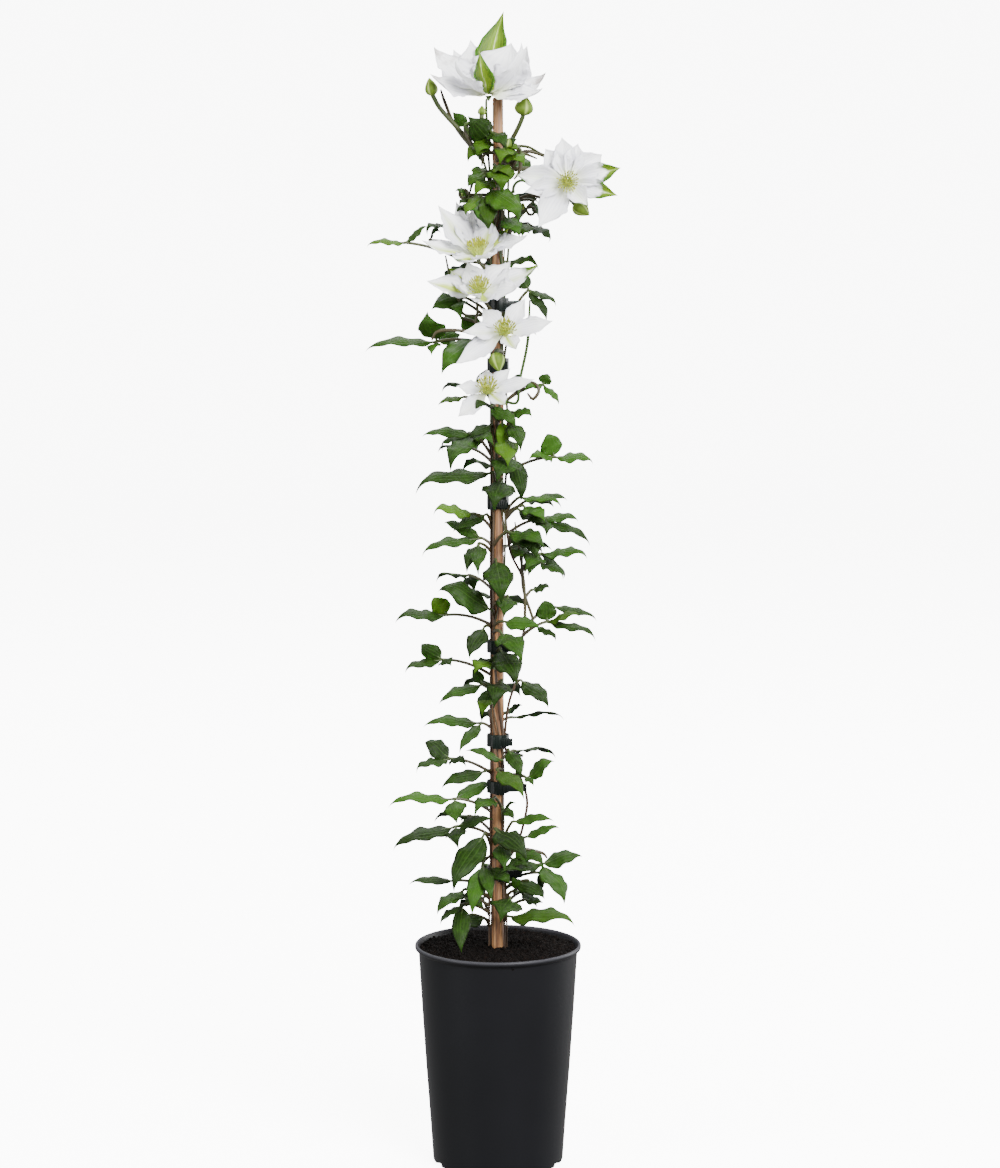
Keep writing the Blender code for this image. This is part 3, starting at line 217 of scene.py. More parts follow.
# flowers: centre, way they face, and the tip, width and arch of each tepal
bloomRows = {
    "bloom_1": ((-8, -9, 958), (0.05, 0.0, 1.0), (
        ((-59, -22, 975), 26, -0.22), ((-56, 14, 1000), 33, -0.18), ((-37, -36, 986), 32, -0.24),
        ((-24, 33, 1007), 34, -0.18), ((-39, 26, 998), 30, -0.18), ((4, 23, 1027), 34, -0.20),
        ((-16, -42, 991), 20, -0.24), ((26, 6, 1000), 32, -0.25), ((28, 27, 990), 33, -0.20),
        ((42, 4, 977), 32, -0.20), ((39, -27, 963), 26, -0.20), ((15, -37, 1001), 33, -0.25),
    )),
    "bloom_2": ((60, -25, 882), (0.08, -1.0, 0.05), (
        ((56, -2, 921), 21, 0.05), ((70, -6, 915), 21, 0.05), ((41, -10, 911), 21, 0.0),
        ((91, -12, 906), 27, 0.0), ((107, -22, 894), 22, 0.10), ((104, -35, 870), 20, -0.05),
        ((35, -43, 843), 30, -0.06), ((15, -26, 888), 25, 0.06), ((23, -39, 873), 21, -0.05),
        ((78, -42, 861), 21, -0.08), ((52, -17, 909), 20, 0.02),
    )),
    "bloom_3": ((-17, -25, 818), (-0.1, -0.5, 1.0), (
        ((-52, -12, 862), 25, -0.10), ((-37, 0, 865), 20, -0.10), ((-19, -3, 864), 25, -0.12),
        ((-4, -12, 849), 21, -0.10), ((10, -18, 843), 21, -0.10), ((26, -32, 837), 23, -0.08),
        ((-67, -26, 831), 22, -0.10), ((-38, -52, 815), 24, -0.14), ((-8, -56, 821), 22, -0.14),
    )),
    "bloom_4": ((-15, -28, 786), (-0.1, -0.7, 0.7), (
        ((-62, -38, 797), 24, -0.10), ((-43, -20, 807), 24, -0.08), ((-27, -18, 812), 21, -0.08),
        ((11, -18, 813), 25, -0.10), ((36, -26, 810), 22, -0.10), ((17, -57, 792), 24, -0.14),
        ((-34, -60, 793), 23, -0.14), ((-10, -64, 780), 21, -0.14),
    )),
    "bloom_5": ((5, -28, 751), (0.1, -0.8, 0.5), (
        ((-14, -20, 772), 24, -0.08), ((24, -18, 781), 21, -0.08), ((48, -34, 762), 24, -0.10),
        ((-30, -38, 753), 21, -0.10), ((-37, -47, 725), 24, -0.12), ((16, -57, 738), 22, -0.12),
    )),
    "bloom_6": ((-9, -30, 700), (0.0, -0.8, 0.5), (
        ((-10, -22, 719), 23, -0.08), ((11, -22, 720), 19, -0.08), ((32, -33, 711), 21, -0.10),
        ((-36, -33, 705), 21, -0.10), ((-35, -51, 679), 25, -0.12), ((8, -56, 690), 21, -0.12),
    )),
}

# buds: stem, height, points passed, foot, tip and radius
budRows = (
    ("side", 905, ((-32, 2, 925), (-50, -4, 945)), (-57, -7, 957), (-60, -8, 972), 5.2),
    ("back", 912, ((14, 4, 922), (20, -1, 934)), (22, -3, 940), (24, -4, 957), 7.6),
    ("left", 925, ((-14, -9, 936),), (-14, -9, 940), (-14, -9, 948), 3.4),
    ("right", 893, ((40, -2, 890),), (67, -12, 863), (80, -15, 853), 6.4),
    ("right", 835, ((14, 2, 848),), (20, 0, 854), (22, -1, 864), 4.0),
    ("front", 733, ((0, -16, 735), (-1, -26, 735)), (-2, -33, 733), (1, -41, 718), 6.6),
    ("front", 900, ((6, -16, 908),), (8, -18, 912), (10, -20, 920), 3.6),
    ("side", 866, ((-18, 5, 868),), (-26, 2, 869), (-34, 0, 871), 4.4),
)

# twigs: stem, height, points passed
twigRows = (
    ("side", 900, ((-36, 8, 928), (-46, 2, 950), (-50, 0, 962))),
    ("right", 690, ((28, -4, 706), (36, -8, 700), (31, -9, 692), (26, -6, 697))),
    ("front", 282, ((16, -14, 290), (38, -12, 286), (44, -8, 280))),
    ("left", 745, ((-30, -14, 752), (-52, -16, 752), (-58, -14, 744))),
    ("left", 905, ((-22, -6, 914), (-29, -4, 928), (-25, -4, 932), (-22, -5, 926))),
    ("front", 898, ((18, -10, 902), (19, -8, 892), (14, -8, 884))),
    ("right", 860, ((20, -6, 868), (32, -8, 870), (42, -8, 865))),
)

# young leaves and tendrils too small for the solids, in rows like those above
youngLeafRows = (
    ("front", 917, (-7, -15, 926), [((4, -30, 912), 13)]),
    ("left", 911, (-9, -13, 920), [((-16, -24, 907), 13)]),
    ("front", 888, (-4, -19, 897), [((8, -33, 886), 12)]),
    ("left", 875, (-3, -14, 884), [((-16, -22, 872), 12)]),
    ("front", 863, (-9, -18, 872), [((-8, -28, 847), 13)]),
    ("left", 857, (-17, -8, 866), [((-11, -13, 847), 8)]),
    ("right", 833, (11, -4, 842), [((24, -6, 837), 8)]),
    ("right", 905, (6, -12, 914), [((15, -15, 910), 8)]),
    ("right", 902, (14, -10, 911), [((9, -18, 905), 7)]),
    ("left", 862, (-25, -4, 871), [((-35, -8, 872), 7)]),
    ("left", 859, (-25, -4, 868), [((-32, -8, 863), 6)]),
    ("left", 877, (-9, -6, 886), [((-20, -2, 889), 11)]),
    ("front", 677, (-7, -14, 686), [((11, -24, 671), 13)]),
    ("left", 648, (-10, 0, 657), [((-26, 4, 654), 13)]),
    ("right", 596, (19, -8, 605), [((48, -20, 598), 11)]),
    ("right", 589, (22, -12, 598), [((37, -26, 587), 15)]),
    ("right", 563, (11, -12, 572), [((33, -28, 560), 15)]),
    ("right", 550, (33, -14, 559), [((28, -26, 542), 13)]),
    ("right", 537, (37, 2, 546), [((57, -8, 532), 12)]),
    ("front", 463, (2, -20, 472), [((11, -42, 449), 19)]),
    ("left", 453, (-5, -12, 462), [((-16, -20, 452), 13)]),
    ("front", 427, (-7, -14, 436), [((-14, -24, 418), 10)]),
    ("back", 401, (7, 8, 410), [((19, 12, 413), 11)]),
    ("left", 403, (-8, 8, 412), [((-13, 14, 402), 9)]),
    ("front", 347, (20, -12, 356), [((17, -18, 366), 6)]),
    ("right", 345, (24, -8, 354), [((30, -14, 348), 6)]),
    ("left", 242, (-27, -20, 251), [((-41, -34, 243), 9)]),
    ("left", 235, (-30, -10, 244), [((-16, -20, 238), 9)]),
    ("left", 220, (-25, -12, 229), [((-32, -20, 221), 8)]),
    ("right", 243, (20, -6, 252), [((13, -10, 261), 8)]),
    ("right", 250, (27, -4, 259), [((38, -12, 248), 9)]),
    ("right", 260, (29, 4, 269), [((41, 2, 267), 7)]),
    ("right", 256, (38, 0, 265), [((38, -6, 248), 6)]),
    ("right", 231, (24, 0, 240), [((37, -4, 238), 8)]),
    ("front", 264, (-7, -16, 273), [((7, -24, 262), 12)]),
    ("front", 273, (11, -16, 282), [((23, -24, 275), 12)]),
    ("front", 318, (4, -12, 327), [((12, -18, 319), 8)]),
    ("side", 762, (-29, -6, 781), [((-58, -14, 770), 15)]),
)
tendrilRows = (
    ("left", ((-4, -8, 907), (-9, -12, 908), (-13, -14, 903), (-14, -8, 896))),
    ("front", ((-1, -10, 900), (2, -13, 903), (2, -12, 910), (-1, -10, 912))),
    ("right", ((6, -8, 897), (9, -12, 903), (15, -12, 911), (18, -8, 907), (14, -4, 900), (12, 0, 896))),
    ("right", ((3, -8, 905), (11, -8, 908), (24, -10, 906), (34, -14, 902))),
    ("right", ((11, -2, 911), (18, -2, 913), (27, -4, 912), (37, -8, 907))),
    ("left", ((-15, -4, 891), (-20, -4, 889), (-23, -4, 879), (-25, -4, 871))),
    ("left", ((-25, -4, 867), (-21, -6, 869), (-16, -8, 872))),
    ("right", ((11, -2, 857), (15, -4, 864), (22, -8, 869), (31, -10, 871), (38, -14, 868))),
    ("right", ((11, -2, 843), (19, -4, 851), (27, -8, 861), (34, -12, 868))),
    ("right", ((11, -2, 850), (18, -4, 852))),
    ("right", ((16, -4, 846), (19, -6, 851), (21, -6, 855))),
    ("left", ((-20, -4, 917), (-26, -6, 925), (-29, -8, 930), (-26, -8, 933), (-22, -10, 932))),
    ("front", ((-3, -9, 842), (-1, -10, 853), (-4, -10, 866), (0, -9, 876))),
    ("front", ((1, -9, 843), (4, -8, 855), (0, -10, 865), (1, -9, 874), (-3, -10, 888))),
    ("right", ((17, -4, 689), (19, -6, 707), (25, -7, 735), (27, -7, 753), (28, -6, 779))),
    ("front", ((-18, -12, 757), (-18, -13, 769), (-19, -13, 782))),
    ("left", ((-29, -8, 766), (-34, -10, 777), (-41, -11, 795), (-46, -12, 818))),
    ("front", ((-15, -12, 702), (-18, -15, 706), (-17, -17, 712), (-10, -17, 718))),
    ("right", ((24, -6, 495), (23, -7, 529), (15, -8, 583))),
    ("right", ((31, -4, 495), (22, -5, 526), (22, -6, 567))),
)

# marks on tepals: bloom, number of the tepal, shares of green, of pale green bar and of withered tip
tepalMarks = {
    "bloom_1": {0: (0, 0, 0.8), 1: (0, 0, 1), 5: (1, 0, 0), 6: (1, 0, 0), 9: (0, 0, 1), 10: (0, 0, 0.4)},
    "bloom_2": {4: (0.36, 0, 0), 5: (0.44, 0, 0), 3: (0, 0, 0.5), 7: (0.14, 0.3, 0), 9: (0.2, 0.3, 0)},
    "bloom_3": {0: (0, 0.7, 0), 3: (0.1, 1, 0), 4: (0.3, 1.6, 0), 6: (0, 0.9, 0), 7: (0.1, 1.4, 0)},
    "bloom_4": {0: (0, 1.4, 0), 1: (0.1, 1.4, 0), 4: (0.22, 0.5, 0), 6: (0, 1.6, 0), 7: (0, 1.4, 0)},
    "bloom_5": {3: (0, 0.3, 0), 5: (0.1, 0.9, 0)},
    "bloom_6": {4: (0, 0.2, 0.4), 5: (0.15, 0.9, 0)},
}


# small helpers
def linear(hexColour):
    channels = [int(hexColour[i:i + 2], 16) / 255.0 for i in (1, 3, 5)]
    turned = [c / 12.92 if c <= 0.04045 else ((c + 0.055) / 1.055) ** 2.4 for c in channels]
    return (*turned, 1.0)


def link(obj):
    bpy.context.scene.collection.objects.link(obj)
    return obj


def smooth(mesh, sharpFrom=None):
    for face in mesh.polygons:
        face.use_smooth = True
    if sharpFrom:
        mesh.set_sharp_from_angle(angle=math.radians(sharpFrom))


def dress(piece, slotName, *nodes):
    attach(piece, "root")
    if nodes:
        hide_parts(*nodes)
    return piece


# an output of a node, so that sums of nodes read like sums
class Wire:
    def __init__(self, tree, socket):
        self.tree, self.socket = tree, socket

    def use(self, operation, second=0.0, third=0.0):
        return mathNode(self.tree, operation, self, second, third)

    def __add__(self, other):
        return self.use("ADD", other)

    def __sub__(self, other):
        return self.use("SUBTRACT", other)

    def __rsub__(self, other):
        return mathNode(self.tree, "SUBTRACT", other, self)

    def __mul__(self, other):
        return self.use("MULTIPLY", other)

    def __pow__(self, other):
        return self.use("POWER", other)

    def __abs__(self):
        return self.use("ABSOLUTE")

    def timesPlus(self, factor, extra):
        return self.use("MULTIPLY_ADD", factor, extra)

    def atMost(self, other):
        return self.use("MINIMUM", other)

    def atLeast(self, other):
        return self.use("MAXIMUM", other)

    # falls from one to nothing as the value times the sharpness grows to one
    def fade(self, sharpness):
        return 1.0 - (self * sharpness).atMost(1.0)


# a wire is linked, a hex colour and any other value is set on the socket itself
def put(socket, value):
    if isinstance(value, Wire):
        value.tree.links.new(value.socket, socket)
    elif isinstance(value, str) and value.startswith("#"):
        socket.default_value = linear(value)
    else:
        socket.default_value = value


# one node with its settings and inputs, given back as the wire from one of its outputs
def addNode(tree, kind, inputs=(), output=0, **settings):
    made = tree.nodes.new(kind)
    for name, value in settings.items():
        setattr(made, name, value)
    for label, value in dict(inputs).items():
        put(made.inputs[label], value)
    return Wire(tree, made.outputs[output])


def mathNode(tree, operation, first, second=0.0, third=0.0):
    return addNode(tree, "ShaderNodeMath", {0: first, 1: second, 2: third}, operation=operation)


def vectorNode(tree, operation, first, second=(0.0, 0.0, 0.0)):
    other = "Scale" if operation == "SCALE" else 1
    return addNode(tree, "ShaderNodeVectorMath", {0: first, other: second}, operation=operation)


def splitVector(tree, vector):
    outputs = addNode(tree, "ShaderNodeSeparateXYZ", {0: vector}).socket.node.outputs
    return [Wire(tree, socket) for socket in outputs]


# materials
def newMaterial(name):
    material = bpy.data.materials.new(name)
    material.use_nodes = True
    return material, material.node_tree


def fillShader(material, values):
    shader = material.node_tree.nodes["Principled BSDF"]
    for label, value in values.items():
        put(shader.inputs[label], value)
    return material


def mixColour(tree, factor, first, second):
    return addNode(tree, "ShaderNodeMix", {0: factor, 6: first, 7: second}, 2, data_type="RGBA")


def attributeNode(tree, name, output="Fac"):
    return addNode(tree, "ShaderNodeAttribute", output=output, attribute_name=name)


def objectCoordinates(tree):
    return addNode(tree, "ShaderNodeTexCoord", output="Object")


def noiseNode(tree, vector, scale, detail=3.0, roughness=0.5):
    values = {"Vector": vector, "Scale": scale, "Detail": detail, "Roughness": roughness}
    return addNode(tree, "ShaderNodeTexNoise", values)


# noise drawn out upwards, like the grain of a stem: a smaller squash gives longer streaks
def grainNode(tree, squash, scale, detail=3.0, roughness=0.5):
    place = vectorNode(tree, "MULTIPLY", objectCoordinates(tree), (1.0, 1.0, squash))
    return noiseNode(tree, place, scale, detail, roughness)


def bumpNode(tree, height, strength, distance):
    return addNode(tree, "ShaderNodeBump", {"Strength": strength, "Distance": distance, "Height": height})


def rampNode(tree, factor, stops):
    made = addNode(tree, "ShaderNodeValToRGB", {0: factor})
    elements = made.socket.node.color_ramp.elements
    while len(elements) < len(stops):
        elements.new(0.5)
    for element, (place, colour) in zip(elements, stops):
        element.position = place
        element.color = linear(colour)
    return made


# grows from nothing to one between two values
def riseNode(tree, factor, low, high):
    return rampNode(tree, factor, ((low, "#000000"), (high, "#ffffff")))


potLook = {
    "colour": "#0b0b0d", "worn": "#101013", "cloud": 14.0, "lipHighlight": "#303034", "lipLevel": 0.1972,
    "lipEdge": 500.0, "roughness": 0.46, "gloss": 0.12, "grain": 900.0,
}


# injection-moulded polypropylene: satin black with a fine grain; the lip is painted a paler grey as a
# highlight
def makePotMaterial():
    material, tree = newMaterial("potPlastic")
    place = objectCoordinates(tree)
    cloud = noiseNode(tree, place, potLook["cloud"], 4.0)
    skin = mixColour(tree, cloud, potLook["colour"], potLook["worn"])
    # painted highlight: above the lip level the colour is mixed towards a paler grey
    lipHighlight = (splitVector(tree, place)[2] - potLook["lipLevel"]) * potLook["lipEdge"]
    grain = noiseNode(tree, place, potLook["grain"], 2.0)
    return fillShader(material, {
        "Base Color": mixColour(tree, lipHighlight.atMost(1.0).atLeast(0.0), skin, potLook["lipHighlight"]),
        "Roughness": cloud.timesPlus(0.1, potLook["roughness"] - 0.05),
        "Specular IOR Level": potLook["gloss"],
        "Normal": bumpNode(tree, grain, 0.12, 0.0004),
    })


soilLook = {
    "dark": "#030202", "light": "#0c0705", "fibre": "#2b1a12", "grain": 230.0, "roughness": 0.92,
    "gloss": 0.08,
}


# peat compost: near black when moist, with reddish fibres that catch the light
def makeSoilMaterial():
    material, tree = newMaterial("compost")
    place = objectCoordinates(tree)
    coarse = noiseNode(tree, place, soilLook["grain"], 6.0, 0.7)
    fine = noiseNode(tree, place, soilLook["grain"] * 4.0, 3.0, 0.6)
    tones = ((0.38, soilLook["dark"]), (0.62, soilLook["light"]), (0.80, soilLook["fibre"]))
    return fillShader(material, {
        "Base Color": rampNode(tree, coarse, tones), "Roughness": soilLook["roughness"],
        "Specular IOR Level": soilLook["gloss"], "Normal": bumpNode(tree, fine, 0.8, 0.001),
    })


caneLook = {
    "pale": "#a0754a", "mid": "#744f30", "dark": "#382317", "streaks": 420.0, "patches": 60.0,
    "specks": 900.0, "dirt": 0.5, "roughness": 0.48,
}


# split-free bamboo: long streaks of tan and red-brown under a thin natural gloss
def makeCaneMaterial():
    material, tree = newMaterial("bamboo")
    streak = grainNode(tree, 0.03, caneLook["streaks"], 4.0, 0.6)
    patch = grainNode(tree, 0.35, caneLook["patches"])
    speck = grainNode(tree, 0.3, caneLook["specks"], 2.0)
    tones = ((0.30, caneLook["dark"]), (0.46, caneLook["mid"]), (0.62, caneLook["pale"]))
    stain = riseNode(tree, patch, 0.44, 0.66)
    dirty = stain.atLeast(riseNode(tree, speck, 0.62, 0.72)) * caneLook["dirt"]
    return fillShader(material, {
        "Base Color": mixColour(tree, dirty, rampNode(tree, streak, tones), caneLook["dark"]),
        "Roughness": caneLook["roughness"], "Normal": bumpNode(tree, streak, 0.25, 0.0004),
    })


clipLook = {"colour": "#07100c", "roughness": 0.38, "gloss": 0.2}


# moulded plant clip: dark green plastic with a dull shine
def makeClipMaterial():
    return fillShader(newMaterial("clipPlastic")[0], {
        "Base Color": clipLook["colour"], "Roughness": clipLook["roughness"],
        "Specular IOR Level": clipLook["gloss"],
    })


stemLook = {
    "young": "#28420f", "old": "#453322", "bark": "#231912", "grain": 400.0, "roughness": 0.5, "gloss": 0.35,
}


# clematis stem: ribbed, woody brown low down and green towards the tips
def makeStemMaterial():
    material, tree = newMaterial("stemSkin")
    mottled = grainNode(tree, 0.15, stemLook["grain"])
    old = mixColour(tree, mottled, stemLook["bark"], stemLook["old"])
    return fillShader(material, {
        "Base Color": mixColour(tree, attributeNode(tree, "tubeAge"), stemLook["young"], old),
        "Roughness": stemLook["roughness"], "Specular IOR Level": stemLook["gloss"],
        "Normal": bumpNode(tree, mottled, 0.15, 0.0003),
    })


leafLook = {
    "deep": "#0e1807", "mid": "#17280a", "bright": "#2b4a12", "young": "#4c6e16", "vein": "#38541f",
    "under": "#22341a", "margin": "#1c140b", "mottle": 160.0, "net": 9.0, "roughness": 0.40, "gloss": 0.07,
}

# veins that run along the blade: place between midrib and edge, and sharpness
leafVeins = ((0.0, 20.0), (0.34, 16.0), (0.66, 20.0))


# clematis leaf: leathery, deep green and a little glossy, with arching veins and a greyer underside
def makeLeafMaterial():
    material, tree = newMaterial("leafSkin")
    blade = attributeNode(tree, "bladeUv", "Vector")
    tone, young, _ = splitVector(tree, attributeNode(tree, "bladeTint", "Vector"))
    rim = abs(splitVector(tree, blade)[0]) * 2.0
    mottled = noiseNode(tree, objectCoordinates(tree), leafLook["mottle"])
    tones = ((0.15, leafLook["deep"]), (0.48, leafLook["mid"]), (0.88, leafLook["bright"]))
    mature = rampNode(tree, mottled.timesPlus(0.45, tone * 0.7), tones)
    base = mixColour(tree, young, mature, leafLook["young"])
    midrib, inner, outer = (abs(rim - place).fade(sharp) for place, sharp in leafVeins)
    cells = {"Scale": leafLook["net"], "Vector": vectorNode(tree, "MULTIPLY", blade, (0.8, 1.6, 0.0))}
    net = addNode(tree, "ShaderNodeTexVoronoi", cells, feature="DISTANCE_TO_EDGE")
    vein = midrib.atLeast(inner.atLeast(outer) * 0.6).atLeast(net.fade(14.0) * 0.3)
    upper = mixColour(tree, vein * 0.5, base, leafLook["vein"])
    under = mixColour(tree, vein * 0.4, leafLook["under"], leafLook["vein"])
    under = mixColour(tree, 0.45, under, base)
    colour = mixColour(tree, attributeNode(tree, "bladeSide"), under, upper)
    return fillShader(material, {
        "Base Color": mixColour(tree, rim ** 14.0 * 0.7, colour, leafLook["margin"]),
        "Roughness": mottled.timesPlus(0.15, leafLook["roughness"] - 0.06),
        "Specular IOR Level": leafLook["gloss"],
        "Subsurface Weight": 0.06, "Subsurface Radius": (0.3, 1.0, 0.1), "Subsurface Scale": 0.002,
        "Normal": bumpNode(tree, mottled * 0.4 - vein, 0.5, 0.0006),
    })


tepalLook = {
    "white": "#fcfdfa", "paintedShade": "#d2d2da", "throat": "#e2e9b8", "bar": "#a6b84c", "green": "#5c7906",
    "deepGreen": "#1f3c02", "pale": "#dbe3b0", "withered": "#7d7068", "cloud": 90.0, "ribs": 9.0,
    "roughness": 0.55, "gloss": 0.22,
}


# clematis tepal: thin silky white tissue with lengthwise ribs, green or withered where it is marked
def makeTepalMaterial():
    material, tree = newMaterial("tepalSilk")
    blade = attributeNode(tree, "bladeUv", "Vector")
    across, along, _ = splitVector(tree, blade)
    green, barred, withered = splitVector(tree, attributeNode(tree, "bladeTint", "Vector"))
    rim = abs(across) * 2.0
    along = along + 0.5
    cloud = noiseNode(tree, objectCoordinates(tree), tepalLook["cloud"])
    fibres = noiseNode(tree, vectorNode(tree, "MULTIPLY", blade, (16.0, 1.2, 1.0)), 2.0)
    ribs = abs((across * (math.pi * tepalLook["ribs"])).use("SINE"))

    # white with faint streaks from the fibres and painted shade in the grooves, at the edge and low down,
    # yellow-green in the throat and along the bar
    tint = fibres.timesPlus(0.5, (1.0 - ribs) * 0.35) + rim ** 6.0 * 0.5 + along.fade(1.4)
    white = mixColour(tree, tint.atMost(1.0), tepalLook["white"], tepalLook["paintedShade"])
    white = mixColour(tree, along.fade(2.8) * 0.8, white, tepalLook["throat"])
    bar = rim.fade(2.2) * fibres.timesPlus(1.6, 0.4) * barred * (along ** 3.0).fade(1.0)
    white = mixColour(tree, bar.atMost(1.0), white, tepalLook["bar"])

    # green that spreads from the tip over the marked share of the tepal
    reach = rim.timesPlus(0.16, (cloud - 0.5).timesPlus(0.6, along)) - (1.0 - green)
    spread = riseNode(tree, reach * green.use("GREATER_THAN", 0.02), 0.02, 0.16)
    streaks = cloud.timesPlus(0.25, fibres.timesPlus(0.55, rim * 0.62))
    greens = ((0.26, tepalLook["pale"]), (0.46, tepalLook["green"]), (0.90, tepalLook["deepGreen"]))
    colour = mixColour(tree, spread, white, rampNode(tree, streaks, greens))

    # brown and wrinkled where the tip has withered
    dry = riseNode(tree, (cloud - 0.5).timesPlus(1.2, along), 0.70, 0.94) * withered
    relief = dry.timesPlus(cloud, fibres.timesPlus(0.6, ribs * 0.6))
    return fillShader(material, {
        "Base Color": mixColour(tree, dry * 0.7, colour, tepalLook["withered"]),
        "Roughness": tepalLook["roughness"], "Specular IOR Level": tepalLook["gloss"],
        "Subsurface Weight": 0.25, "Subsurface Radius": (1.0, 1.0, 1.0), "Subsurface Scale": 0.003,
        "Normal": bumpNode(tree, relief, 0.4, 0.0007),
    })


stamenLook = {"filament": "#b9c75e", "anther": "#8e9210", "roughness": 0.7}


# pale filaments that end in yellow anthers full of pollen
def makeStamenMaterial():
    material, tree = newMaterial("stamenPollen")
    colour = mixColour(tree, attributeNode(tree, "tubeAge"), stamenLook["filament"], stamenLook["anther"])
    return fillShader(material, {"Base Color": colour, "Roughness": stamenLook["roughness"]})


budLook = {
    "green": "#61781c", "deep": "#334a12", "pale": "#a3b663", "cloud": 300.0, "roughness": 0.6, "gloss": 0.2,
}


# closed bud: downy green sepals with pale ribs
def makeBudMaterial():
    material, tree = newMaterial("budSkin")
    cloud = noiseNode(tree, objectCoordinates(tree), budLook["cloud"])
    body = mixColour(tree, cloud, budLook["deep"], budLook["green"])
    return fillShader(material, {
        "Base Color": mixColour(tree, attributeNode(tree, "budRib") * 0.7, body, budLook["pale"]),
        "Roughness": budLook["roughness"], "Specular IOR Level": budLook["gloss"],
    })


looks = {
    "pot": makePotMaterial(), "soil": makeSoilMaterial(), "cane": makeCaneMaterial(),
    "clip": makeClipMaterial(), "stem": makeStemMaterial(), "leaf": makeLeafMaterial(),
    "tepal": makeTepalMaterial(), "stamen": makeStamenMaterial(), "bud": makeBudMaterial(),
}
print("stage: materials made")


# a tree of geometry nodes: it takes whole numbers, plain numbers and a material, all lengths in metres
def newTree(name, counts, numbers):
    tree = bpy.data.node_groups.new(name, "GeometryNodeTree")
    kinds = [("Geometry", "Geometry")] + [(label, "Int") for label in counts.split()]
    kinds += [(label, "Float") for label in numbers.split()] + [("material", "Material")]
    for label, kind in kinds:
        tree.interface.new_socket(label, in_out="INPUT", socket_type=f"NodeSocket{kind}")
    tree.interface.new_socket("Geometry", in_out="OUTPUT", socket_type="NodeSocketGeometry")
    outputs = tree.nodes.new("NodeGroupInput").outputs
    return tree, {label: Wire(tree, outputs[label]) for label, _ in kinds}


# every tree ends alike: real geometry, smooth if wanted, with its material
def endTree(tree, given, geometry, isSmooth=False):
    geometry = addNode(tree, "GeometryNodeRealizeInstances", {0: geometry})
    if isSmooth:
        geometry = addNode(tree, "GeometryNodeSetShadeSmooth", {0: geometry})
    painted = {"Geometry": geometry, "Material": given["material"]}
    put(tree.nodes.new("NodeGroupOutput").inputs[0], addNode(tree, "GeometryNodeSetMaterial", painted))
    return tree


# run a tree on a source mesh and keep only the result
def grow(name, source, tree, values):
    modifier = source.modifiers.new("grow", "NODES")
    modifier.node_group = tree
    for item in tree.interface.items_tree:
        if item.in_out == "INPUT" and item.name in values:
            modifier[item.identifier] = values[item.name]
    bpy.context.view_layer.update()
    graph = bpy.context.evaluated_depsgraph_get()
    mesh = bpy.data.meshes.new_from_object(source.evaluated_get(graph))
    source.modifiers.remove(modifier)
    old = source.data
    bpy.data.objects.remove(source, do_unlink=True)
    bpy.data.meshes.remove(old)
    mesh.name = name
    made = link(bpy.data.objects.new(name, mesh))
    print("made", name, "triangles", sum(len(p.vertices) - 2 for p in mesh.polygons))
    return made


def pointSource(name, points, edges, attributes):
    mesh = bpy.data.meshes.new(name)
    mesh.from_pydata([tuple(p) for p in points], edges, [])
    for label, (kind, values) in attributes.items():
        attribute = mesh.attributes.new(label, kind, "POINT")
        if kind == "FLOAT":
            attribute.data.foreach_set("value", [float(v) for v in values])
        else:
            attribute.data.foreach_set("vector", [float(c) for v in values for c in v])
    return link(bpy.data.objects.new(name, mesh))


def namedAttribute(tree, name, kind):
    return addNode(tree, "GeometryNodeInputNamedAttribute", {"Name": name}, "Attribute", data_type=kind)


def storedAttribute(tree, geometry, name, kind, value):
    values = {"Name": name, "Geometry": geometry, "Value": value}
    return addNode(tree, "GeometryNodeStoreNamedAttribute", values, data_type=kind, domain="POINT")


def positionNode(tree):
    return addNode(tree, "GeometryNodeInputPosition")


def unitGrid(tree, across, along):
    values = {"Size X": 1.0, "Size Y": 1.0, "Vertices X": across, "Vertices Y": along}
    return addNode(tree, "GeometryNodeMeshGrid", values)


weldReach = 0.000004


def weldNode(tree, geometry):
    return addNode(tree, "GeometryNodeMergeByDistance", {"Distance": weldReach, "Geometry": geometry})


# the links are made in the order of the pieces, which is the order of their points in the mesh
def joinNode(tree, pieces):
    both = addNode(tree, "GeometryNodeJoinGeometry")
    for piece in pieces:
        put(both.socket.node.inputs[0], piece)
    return both


# push a surface in and out a little along its normals
def wobbleNode(tree, given, geometry):
    noise = addNode(tree, "ShaderNodeTexNoise", {"Scale": given["wobbleScale"], "Vector": positionNode(tree)})
    push = (noise - 0.5) * given["wobble"]
    offset = vectorNode(tree, "SCALE", addNode(tree, "GeometryNodeInputNormal"), push)
    return addNode(tree, "GeometryNodeSetPosition", {"Geometry": geometry, "Offset": offset})


